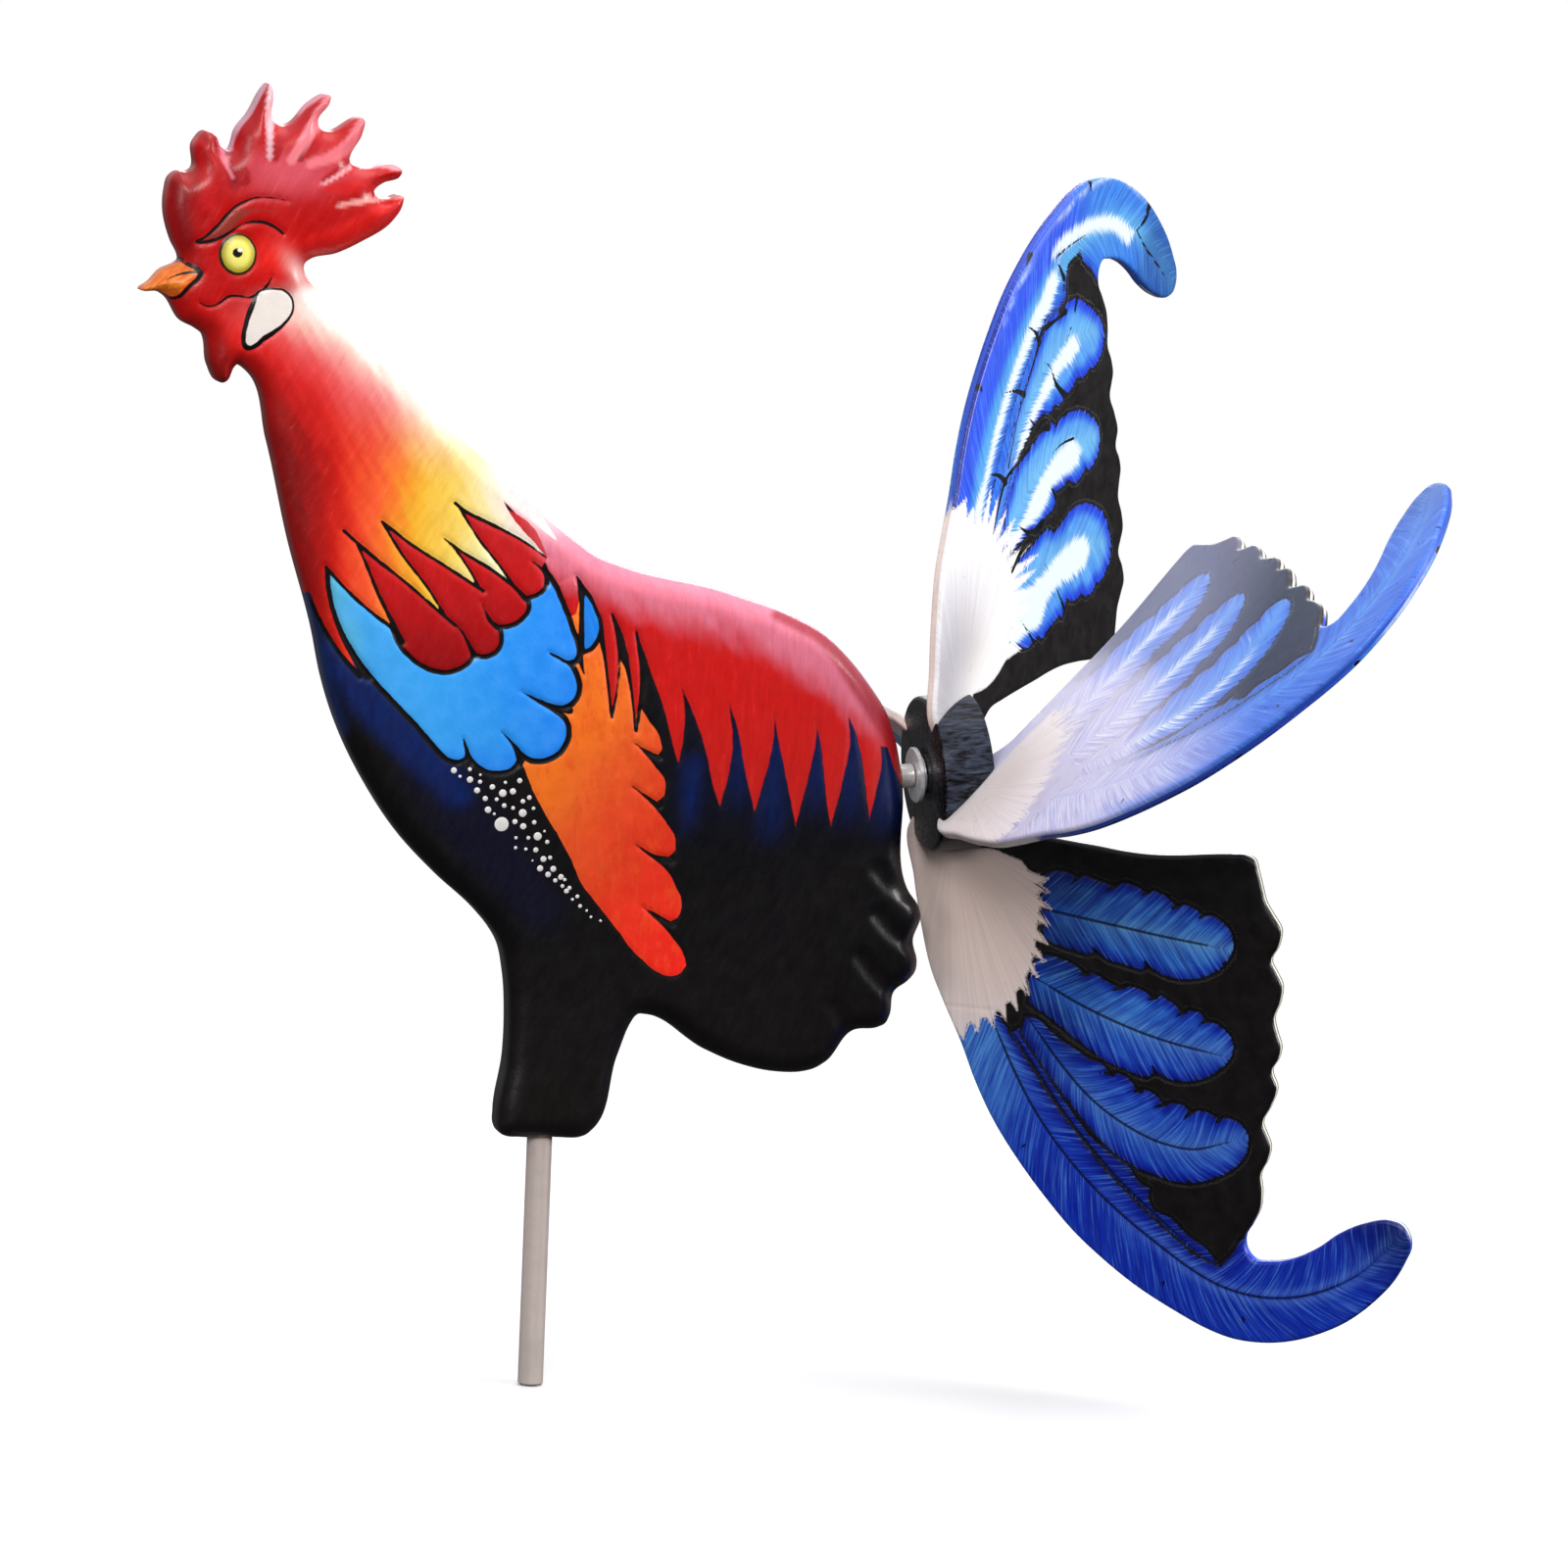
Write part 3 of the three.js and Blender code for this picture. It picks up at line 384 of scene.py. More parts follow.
# black outlines; each is a path and its widths along it
INK = [
    # beak base and mouth
    stroke([(-148.2, 419.3), (-146.6, 418.0), (-143.5, 416.3), (-140.2, 414.6), (-139.2, 413.5), (-140.3, 411.5), (-142.5, 409.3), (-144.6, 407.1), (-146.8, 405.1), (-149, 404.4), (-151.2, 405.0)], [1.3, 1.5, 1.3, 1.7, 1.3, 1.2, 1.1, 0.5]),
    stroke([(-151.7, 410.7), (-150, 411.8), (-147.5, 412.8), (-144.5, 413.5), (-140.6, 413.8)], [0.4, 0.8, 0.9, 0.9]),
    # brow
    stroke([(-108.8, 440.0), (-112, 440.7), (-116, 441.1), (-120, 440.9), (-124, 439.5), (-127.6, 437.4), (-130.7, 434.3), (-134.2, 430), (-138, 426.5), (-141.2, 424.6)], [0.25, 0.6, 0.8, 0.9, 0.9, 1.3]),
    stroke([(-141.0, 424.4), (-138.5, 424.5), (-136, 425), (-132, 426.5), (-128, 429.2), (-125, 431.2), (-122, 432.1), (-117, 432.1), (-113, 430.6), (-110, 428.4)], [1.2, 1.5, 1.0, 0.8, 0.9, 1.3, 1.0]),
    # cheek
    stroke([(-139.4, 402.9), (-137, 401.7), (-134.6, 401.8), (-132, 403.1), (-129.3, 405.1), (-125, 405.5), (-121.5, 405.1), (-119, 406.0)], [0.5, 0.8, 0.7, 0.9, 1.0]),
    stroke([(-113.6, 412.7), (-114.6, 410.3), (-116.2, 408.2)], [0.7, 0.9, 0.9]),
    # neck tongue and the edge of the breast
    stroke([(-97.2, 300.5), (-95.2, 294.5), (-92.0, 288.5), (-86.5, 279.9), (-81.5, 273.6), (-76.5, 268.6)], [1.2, 1.8, 1.4, 1.6, 2.2]),
    stroke([(-90.2, 308.4), (-89.7, 303), (-88.6, 297), (-86.4, 290.0), (-83.2, 282.8), (-78.8, 275.4), (-73.5, 268.4)], [1.2, 1.7, 1.8, 2.2, 2.8]),
    # zigzag hackle edge
    stroke([(-90.1, 307.8), (-80.3, 298), (-72, 291.2), (-63.4, 285.2)], [1.6, 1.2, 1.3, 1.4]),
    stroke([(-61.2, 281.2), (-63.9, 286.2), (-71.3, 300), (-76, 310.5), (-79.6, 317.8)], [2.0, 1.5, 1.2, 1.0], 60),
    stroke([(-84.2, 321.6), (-75, 313.8), (-60, 302.5), (-50.5, 294.7), (-41.5, 287.4)], [1.2, 1.5, 1.1, 1.2, 1.2]),
    stroke([(-45.5, 291.0), (-52.5, 301.3), (-61.9, 312.7), (-70.3, 325.2)], [1.0, 1.0, 1.1, 1.1]),
    stroke([(-70.3, 325.2), (-60, 317.6), (-47.5, 310), (-31.6, 300.3)], [1.2, 1.1, 1.2, 1.4]),
    stroke([(-33.0, 301.1), (-37.5, 308.6), (-42.5, 315.2), (-47.0, 319.4)], [1.2, 1.0, 0.9, 0.8]),
    stroke([(-47.0, 319.4), (-38.8, 313.8), (-30, 308.9), (-19.2, 301.4)], [0.8, 1.1, 1.2, 1.4]),
    stroke([(-19.4, 301.2), (-26.3, 310.2), (-33.8, 319.1), (-42.3, 331.8)], [1.4, 1.1, 1.0, 1.1]),
    stroke([(-43.2, 332.2), (-40, 329.8), (-30, 325), (-17.5, 318.9), (-8.4, 312.9)], [1.3, 1.4, 1.1, 0.7]),
    # hackle feather splits
    stroke([(-34.2, 276.4), (-36.0, 280), (-40.0, 286.4), (-43.6, 289.4)], [2.2, 1.4, 0.9, 0.6]),
    stroke([(-25.9, 287.0), (-28.5, 289.2), (-31.2, 294.3), (-32.2, 296.2)], [2.2, 1.5, 0.8, 0.4]),
    stroke([(-15.6, 297.6), (-18, 300.0), (-20.6, 302.6)], [2.2, 1.6, 1.2]),
    stroke([(-7.8, 303.5), (-8.6, 307.0), (-10.8, 309.4), (-13.6, 311.4)], [2.0, 1.5, 1.0, 0.5]),
    # blue feather splits (wedges)
    stroke([(5.2, 275.0), (1.8, 274.2), (-2.5, 276.0), (-6.0, 277.7)], [2.2, 1.6, 1.0, 0.3]),
    stroke([(2.6, 256.4), (-3.4, 257.4), (-9.6, 260.0), (-15.9, 263.4)], [2.6, 2.4, 1.2, 0.3]),
    stroke([(-15.2, 237.2), (-16.4, 240.8), (-18.8, 244.3), (-22.7, 248.3)], [2.6, 2.2, 1.1, 0.3]),
    stroke([(-34.8, 236.8), (-35.4, 240.4), (-37.1, 245.8)], [2.2, 1.6, 0.3]),
    # band behind the small blue feather
    stroke([(3.2, 306.4), (4.6, 302.0), (5.4, 297.5), (5.7, 289.9), (5.9, 281), (6.0, 275.6), (6.7, 272.2), (7.5, 270.0)], [0.5, 1.9, 2.0, 1.9, 2.0, 2.2, 1.9, 0.5]),
    stroke([(3.4, 306.2), (5.9, 302.0), (8.9, 298.0), (11.2, 293.4), (13.0, 288.8), (13.1, 285.2), (11.6, 281.4), (9.4, 279.0), (6.9, 277.9)], [0.5, 1.5, 1.6, 1.4, 1.3, 1.5, 1.6, 1.7, 1.4]),
    # lines between wing top and first saddle feathers
    stroke([(13.6, 286.5), (14.8, 279.5), (16.4, 268.5), (18.6, 254.0)], [1.0, 0.9, 0.8, 1.0]),
    stroke([(17.3, 292.4), (19.6, 284), (20.8, 275.5), (20.2, 263.5), (18.8, 254.0)], [0.8, 1.1, 0.8, 0.7, 1.0]),
    stroke([(17.3, 292.4), (19.8, 286.5), (22.2, 279.0), (24.7, 269.5), (26.6, 259.5), (27.8, 249.3)], [0.8, 2.0, 2.4, 1.0, 0.8, 1.0]),
    stroke([(26.6, 286.0), (28.9, 276.5), (29.6, 266.0), (29.0, 256.5), (28.2, 249.0)], [0.8, 2.0, 1.6, 1.4, 1.0]),
    # slits in the wing's trailing edge
    stroke([(27.6, 244.6), (32.2, 241.6), (37.2, 239.2)], [0.4, 1.0, 1.3]),
    stroke([(27.6, 228.3), (33.0, 224.4), (38.0, 221.2)], [0.4, 1.1, 1.5]),
    stroke([(29.8, 206.5), (36.0, 202.5), (43.5, 200.6)], [0.4, 1.2, 1.6]),
    stroke([(33.2, 183.3), (38.5, 180.0), (44.8, 176.6)], [0.4, 1.1, 1.6]),
]
# carved grooves: path, widths, depth in millimetres, softness
GROOVES = [
    (stroke([(-145, 447.5), (-141.5, 440), (-139.5, 432)], [1.0, 0.4]), 0.9, 2.4),
    (stroke([(-131.4, 457.5), (-130.2, 451), (-128.6, 445.5)], [0.8, 0.3]), 1.0, 2.0),
    (stroke([(-115.2, 467.5), (-115.6, 461), (-115.9, 454)], [0.8, 0.3]), 1.1, 1.9),
    (stroke([(-98.7, 467.2), (-101.6, 461), (-105.2, 454.6)], [0.8, 0.3]), 1.1, 1.9),
    (stroke([(-86.8, 455.0), (-91, 451.6), (-97.2, 447.4)], [0.8, 0.3]), 1.0, 1.9),
    (stroke([(-77.5, 443.6), (-83.5, 441.2), (-91.5, 439.2)], [0.8, 0.3]), 0.9, 1.9),
    (stroke([(-99.5, 419.5), (-104, 417.0), (-108, 416.5)], [1.2, 0.6]), 1.0, 2.2),
    (stroke([(-125.0, 380.5), (-124.0, 385), (-123.6, 389)], [1.2, 0.6]), 0.9, 2.2),
    # rump feathers
    (stroke([(139.5, 189.0), (134.5, 188.6), (129, 191.6), (124, 197.0)], [0.6, 0.2]), 2.2, 3.2),
    (stroke([(143, 169.4), (137.5, 169.6), (131, 173.6), (125, 180.0)], [0.8, 0.2]), 2.9, 3.2),
    (stroke([(136.5, 149.0), (130, 152.0), (124, 157.5), (119, 164)], [0.6, 0.2]), 2.6, 3.4),
    (stroke([(120, 132), (114, 138.0), (109, 145.0)], [0.4, 0.2]), 1.5, 3.4),
]
DOTS = [(-40.3, 234, 1.15), (-34.3, 234.4, .75), (-37.9, 231.8, .6), (-30.3, 232.4, .5), (-34.1, 230.6, 1.2), (-30.3, 229.8, .8), (-25.6, 227.9, 1.05), (-20.8, 229.6, .65),
    (-15.4, 230.3, 1.0), (-31.3, 226.6, 1.15), (-21.6, 225.6, 1.45), (-17.8, 226.3, 1.2), (-28.1, 223.6, 1.0), (-23.8, 223.3, .75), (-13.9, 222.6, .9), (-11.5, 224, .9), (-26.9, 219.4, 1.25),
    (-20.9, 221, .9), (-17.5, 220.1, .75), (-9.8, 220, .7), (-24.5, 217.9, .55), (-13.8, 218.3, 1.5), (-21.6, 214.1, 2.7), (-16.6, 215, 1.0), (-9.3, 214.8, .85), (-13.4, 213.3, 1.2),
    (-5.3, 211.5, .5), (-16, 209, .65), (-11.3, 209, .75), (-7.8, 209.6, 1.55), (-4.1, 207.5, .8), (-16, 205.3, .65), (-12.1, 204.8, .65), (-8.3, 204.5, 1.0), (-5.3, 201.1, 1.15),
    (-2.8, 201.6, .8), (-9.4, 200.5, .4), (-6.4, 197.6, 1.2), (-1.4, 197.4, 1.15), (-3.3, 195.3, 1.1), (1.6, 194.4, 1.1), (3.1, 193.4, .65), (-.5, 193.1, .85), (2.3, 191, .75),
    (5, 190.3, .8), (3.9, 189.1, .95), (8.1, 187.1, .75), (6.3, 186, .6), (9.3, 183.5, .75), (11.9, 181.8, .5), (13.6, 179.4, .55), (17.3, 178, .5)]


def board_height(d, mid=False):
    """half-thickness of the rooster at depth d from its outline: rounded edge and a slight crown"""
    q = np.clip(d / EDGE_R, 0, 1)
    h = (BOARD_T / 2 - EDGE_R) + EDGE_R * np.sqrt(np.clip(1 - (1 - q) ** 2, 0, 1))
    return h - 1.15 * np.exp(-d / 9.0)


def face_xy(P, y):
    """where the eye reads a point of the surface on the flat face: the rim wraps round the shapes painted there"""
    return np.column_stack([P[:, 0] - 0.282 * (12.5 - y), P[:, 1] + 0.146 * (12.5 - y)])


def soft(P, s, feather):
    """a brushed patch that fades over feather millimetres"""
    pts = np.asarray(s[0], float)[::2] if len(s[0]) > 40 else np.asarray(s[0], float)
    w = np.interp(np.linspace(0, 1, len(pts)), np.linspace(0, 1, len(s[1])), s[1]) / 2
    near = ((P > pts.min(0) - feather - 8) & (P < pts.max(0) + feather + 8)).all(1)
    out = np.zeros(len(P))
    if near.any():
        out[near] = smooth01(1 - seg_dist(P[near], pts[:-1], pts[1:], w[:-1], w[1:]) / feather)
    return out


def rooster_colours(Q):
    """slow colour fields of each painted area, linear"""
    x, z = Q[:, 0], Q[:, 1]
    n1, n2 = vnoise(Q, 14.0, 1), vnoise(Q, 5.0, 2)
    # black ground with navy sheen
    base = np.tile(lin([0.050, 0.040, 0.050]), (len(Q), 1))
    # painted highlight: towards the bottom of the body and the leg the black turns a lighter brown
    base = over(base, lin([0.085, 0.065, 0.06]), 0.6 * smooth01((175 - z) / 60) * (0.5 + 0.5 * n1))
    navy = soft(Q, stroke([(-86, 276), (-76, 265), (-62, 250), (-48, 236), (-38, 225)], [5, 7, 5, 1]), 9.0)
    base = over(base, lin([0.05, 0.06, 0.19]), 0.50 * soft(Q, stroke([(-50, 236), (-34, 216), (-18, 198), (-4, 182)], [8, 10, 8, 3]), 12.0))
    base = over(base, lin([0.04, 0.15, 0.42]), 0.85 * navy * (0.65 + 0.35 * n2))
    edge = soft(Q, stroke([(-101, 296), (-96, 276), (-92, 264), (-85, 250)], [7, 7, 5, 2]), 6.0)
    base = over(base, lin([0.09, 0.17, 0.36]), 0.8 * edge)
    for cx, top, low, w in ((68, 246, 214, 4.5), (82, 243, 201, 5.5), (98.5, 250, 212, 4.5), (111.5, 250, 208, 5.0), (126, 240, 205, 6.5), (50, 236, 205, 4)):
        g = np.exp(-((x - cx - 0.06 * (z - 230)) / w) ** 2) * smooth01((z - low) / 22) * smooth01((top + 8 - z) / 8)
        base = over(base, lin([0.03, 0.15, 0.42]), 0.85 * np.clip(g, 0, 1) * (0.7 + 0.3 * n2))
    base = over(base, lin([0.03, 0.06, 0.20]), 0.4 * smooth01((z - 195) / 40) * smooth01((x - 30) / 30))
    # wing
    tw = (x * 0.012 + (240 - z) * 0.008) + 0.10 * (n1 - 0.5)
    wing = ramp(tw, [(-0.3, (1.0, 0.50, 0.16)), (0.05, (1.0, 0.47, 0.13)), (0.2, (0.98, 0.42, 0.16)), (0.45, (0.98, 0.32, 0.15)), (0.75, (0.98, 0.22, 0.13)), (1.2, (0.97, 0.15, 0.11))])
    # saddle: red with a paler band along the back, a painted highlight where the rounded top catches the light
    top = np.interp(x, [-20, 0, 20, 40, 55, 70, 85, 95, 105, 120, 140], [312, 303, 294, 288, 285.5, 281, 272, 265.5, 259, 247, 236])
    wob = 3.0 * (vnoise(np.column_stack([x * 1.0 + z * 0.6, z * 0.25]), 2.6, 5) - 0.5) + 2.5 * (n2 - 0.5)
    pale = smooth01((z - top - 1.2 * wob) / 16.0 + 0.36)
    sad = ramp((z - 215) / 70.0, [(0, (0.84, 0.14, 0.12)), (0.45, (0.85, 0.11, 0.09)), (0.8, (0.83, 0.09, 0.08)), (1.2, (0.78, 0.08, 0.09))])
    pale = pale * (1 - 0.6 * smooth01((x - 112) / 14))
    sad = over(sad, lin([0.90, 0.49, 0.58]), 0.92 * pale)
    # painted highlight, paler still, right along the top edge
    sad = over(sad, lin([0.93, 0.56, 0.66]), 0.62 * smooth01((z - np.interp(x, [0, 30, 60, 90, 110, 130, 150], [310, 301, 292, 280, 267, 246, 215]) - wob) / 10.0))
    rimline = soft(Q, stroke([(80, 293), (98, 284), (112, 268), (122, 255), (130, 243), (134, 228)], [1.2, 2.2, 4.0, 5.0, 5.0]), 3.0)
    sad = over(sad, lin([0.62, 0.03, 0.06]), 0.75 * rimline)
    # blue patch
    blue = ramp((x + 90) / 95 + 0.12 * (n1 - 0.5), [(0, (0.38, 0.74, 0.84)), (0.18, (0.26, 0.66, 0.95)), (0.45, (0.23, 0.66, 0.99)), (0.75, (0.17, 0.60, 0.99)), (1.0, (0.15, 0.55, 1.0))])
    blue = over(blue, lin([0.10, 0.48, 0.98]), 0.5 * smooth01((246 - z) / 12))
    # neck and head: the neck is painted red through orange to yellow; its near-white right side is a painted
    # highlight where the rounded edge catches the light
    s = x + 0.9 * np.clip(z - 338, 0, None) * np.clip((z - 338) / 60, 0, 1)
    sn = s + 5.5 * (vnoise(np.column_stack([(x * 0.86 + z * 0.5), (z * 0.86 - x * 0.5) * 0.18]), 2.0, 7) - 0.5) + 5 * (n1 - 0.5)
    low = ramp(sn - 2, [(-106, (0.55, 0.07, 0.07)), (-97, (0.66, 0.06, 0.05)), (-90, (0.80, 0.10, 0.06)), (-83, (0.91, 0.22, 0.12)), (-74, (0.97, 0.37, 0.18)), (-66, (0.97, 0.53, 0.15)),
        (-57, (0.97, 0.73, 0.20)), (-46, (0.97, 0.82, 0.36)), (-36, (0.98, 0.91, 0.60)), (-26, (0.99, 0.97, 0.84)), (-12, (0.97, 0.93, 0.88))])
    high = ramp(sn - 6, [(-120, (0.50, 0.05, 0.06)), (-106, (0.60, 0.06, 0.06)), (-96, (0.76, 0.08, 0.07)), (-88, (0.85, 0.13, 0.12)), (-80, (0.90, 0.24, 0.24)), (-71, (0.93, 0.38, 0.38)),
        (-63, (0.96, 0.58, 0.56)), (-55, (0.98, 0.80, 0.75)), (-47, (0.99, 0.93, 0.90))])
    neck = over(low, high, smooth01((z - 338) / 34))
    head = np.tile(lin([0.73, 0.03, 0.03]), (len(Q), 1))
    head = over(head, lin([0.62, 0.05, 0.06]), smooth01((-133 - x + 0.35 * (z - 430)) / 16))
    head = over(head, lin([0.50, 0.04, 0.05]), 0.8 * smooth01((402 - z) / 14) * smooth01((-127 - x) / 7))
    head = over(head, lin([0.95, 0.13, 0.10]), 0.9 * np.exp(-(((x + 113) / 9) ** 2 + ((z - 420) / 7) ** 2)))
    # painted highlight: a pink patch across the middle of the comb
    head = over(head, lin([0.88, 0.36, 0.42]), 0.80 * np.exp(-(((x + 108) / 19) ** 2 + ((z - 450.5) / 8.5) ** 2) ** 1.3))
    head = over(head, lin([0.75, 0.07, 0.08]), 0.7 * np.exp(-(((x + 86) / 16) ** 2 + ((z - 433) / 6.0) ** 2)))
    # comb: soft strokes of painted shade, dark red in the grooves and down the points, and of painted highlight,
    # pink, along the ridges
    for path, w, f, c, k in (
        ([(-124.5, 447), (-127.0, 455), (-125.5, 463), (-121.0, 474), (-119.3, 480)], [3, 4.5, 4.0, 1.2], 1.6, (0.66, 0.04, 0.08), 0.95),
        ([(-128, 445.5), (-130.5, 453), (-132.5, 459)], [3, 2.5, 1], 1.6, (0.60, 0.03, 0.08), 0.8),
        ([(-113.6, 455), (-111.5, 462), (-106.5, 468.5), (-99, 474.5)], [1.5, 3.4, 3.6, 1.0], 1.3, (0.68, 0.04, 0.09), 0.95),
        ([(-103.6, 455), (-98.5, 461), (-92, 466), (-85.5, 469.3)], [0.8, 2.8, 2.4, 0.8], 1.2, (0.72, 0.05, 0.09), 0.95),
        ([(-94.5, 449.5), (-88, 451.5), (-80, 452.2), (-72, 452.0)], [0.6, 1.8, 1.2, 0.6], 1.0, (0.78, 0.08, 0.12), 0.8),
        ([(-86, 461), (-84.2, 465), (-82.6, 469)], [1.0, 1.8, 1.0], 1.2, (0.86, 0.14, 0.18), 0.7),
        ([(-79, 446.5), (-86, 445.5), (-95, 445)], [0.6, 3.0, 1.0], 1.6, (0.84, 0.12, 0.12), 0.8),
        ([(-67, 441.5), (-74, 436), (-84, 430), (-98, 425)], [2, 6, 6, 4], 3.0, (0.84, 0.10, 0.09), 0.8),
        ([(-143, 460), (-139.5, 455), (-137.5, 447), (-137.5, 438)], [3, 5, 4, 3], 2.5, (0.78, 0.06, 0.09), 0.7),
        ([(-151.5, 446), (-148, 440), (-146.5, 431), (-145, 424)], [2, 4, 4, 3], 3.0, (0.56, 0.05, 0.07), 0.8),
        ([(-115.6, 467.6), (-115.9, 461), (-116.2, 455)], [1.0, 0.9, 0.3], 0.6, (0.35, 0.02, 0.05), 0.9),
        ([(-99.2, 467.0), (-102, 461), (-105, 455)], [0.9, 0.8, 0.3], 0.6, (0.42, 0.02, 0.06), 0.9),
        ([(-132.2, 456.8), (-130.2, 451.5), (-128.4, 446.5)], [1.0, 0.8, 0.3], 0.6, (0.42, 0.02, 0.06), 0.8),
        ([(-87.5, 454.6), (-92, 451.0), (-97, 447.2)], [0.8, 0.6, 0.3], 0.5, (0.55, 0.03, 0.07), 0.8),
        ([(-78.5, 443.6), (-84, 441.3), (-91, 439.3)], [0.8, 0.6, 0.3], 0.5, (0.55, 0.03, 0.07), 0.8),
        ([(-134.8, 461.5), (-132.0, 454), (-129.2, 448)], [0.9, 1.3, 0.6], 0.7, (0.90, 0.50, 0.56), 0.9),
        ([(-131.4, 458.5), (-130.2, 464), (-125.6, 470.5), (-121.5, 477.5), (-119.4, 482)], [1.2, 1.6, 1.2, 1.0], 0.9, (0.86, 0.66, 0.74), 0.75),
        ([(-116.6, 481.5), (-116.4, 472), (-115.9, 463), (-115.7, 455.5)], [1.2, 1.8, 1.4, 0.8], 0.9, (0.95, 0.76, 0.80), 0.9),
        ([(-112.6, 467.8), (-108, 471.8), (-102, 477), (-96.5, 479.5)], [0.6, 1.0, 1.4, 1.0], 0.8, (0.88, 0.62, 0.70), 0.7),
        ([(-95.2, 478), (-99.3, 469.5), (-104.2, 460), (-107.8, 454.8)], [1.6, 3.0, 3.2, 2.0], 1.3, (0.95, 0.52, 0.56), 0.9),
        ([(-97.6, 467.6), (-92, 470.2), (-85, 472.3), (-82.5, 471.5)], [0.6, 1.0, 1.2, 0.8], 0.8, (0.90, 0.66, 0.72), 0.75),
        ([(-83.2, 470.0), (-87.5, 461), (-93, 456.4), (-101, 453.6)], [1.4, 2.6, 3.0, 2.0], 1.4, (0.96, 0.50, 0.54), 0.85),
        ([(-86.6, 453.3), (-91.0, 449.6), (-96.5, 446)], [0.6, 0.9, 0.5], 0.6, (0.98, 0.72, 0.74), 0.8),
        ([(-68.0, 453.6), (-76, 454.6), (-83, 453.6)], [1.4, 1.2, 0.6], 0.8, (0.95, 0.66, 0.70), 0.75),
        ([(-67.2, 443.6), (-73, 443.0), (-80, 441.3), (-90, 439.0)], [1.0, 1.0, 1.4, 0.6], 0.8, (0.98, 0.66, 0.64), 0.85),
    ):
        head = over(head, lin(c), k * soft(Q, stroke(path, w), f))
    # painted highlight on the face behind the eye
    shine = np.exp(-(((x + 104) / 5.5) ** 2 + ((z - 415 + 0.8 * (x + 104)) / 4.5) ** 2))
    blendz = smooth01((z - 396 - 0.25 * (x + 100)) / 20)
    nh = over(neck, head, blendz * smooth01((-98 - x + 1.4 * (z - 408)) / 10))
    nh = over(nh, lin([1.0, 0.84, 0.82]), 0.55 * shine)
    # where neck and saddle meet, a pale pink patch joins the painted highlights along their top edges
    meet = np.exp(-(((x + 14 + 0.4 * (z - 336)) / 13) ** 2 + ((z - 336) / 15) ** 2))
    nh = over(nh, lin([0.97, 0.82, 0.82]), np.clip(1.35 * meet * smooth01((z - 318 - 0.3 * x) / 10), 0, 1))
    sad = over(sad, lin([0.97, 0.80, 0.81]), np.clip(1.25 * meet * smooth01((z - 314) / 12), 0, 1))
    # hackle feathers
    hk = ramp((z - 272) / 45 + 0.1 * (n1 - 0.5), [(0, (0.58, 0.03, 0.05)), (0.35, (0.69, 0.05, 0.07)), (0.8, (0.77, 0.08, 0.09)), (1.2, (0.76, 0.11, 0.13))])
    hk = over(hk, lin([0.88, 0.38, 0.42]), 0.5 * smooth01((x + 0.5 * (z - 300) + 10) / 10))
    return dict(cBase=base, cWing=wing, cSaddle=sad, cBlue=blue, cNeck=nh, cHackle=hk)


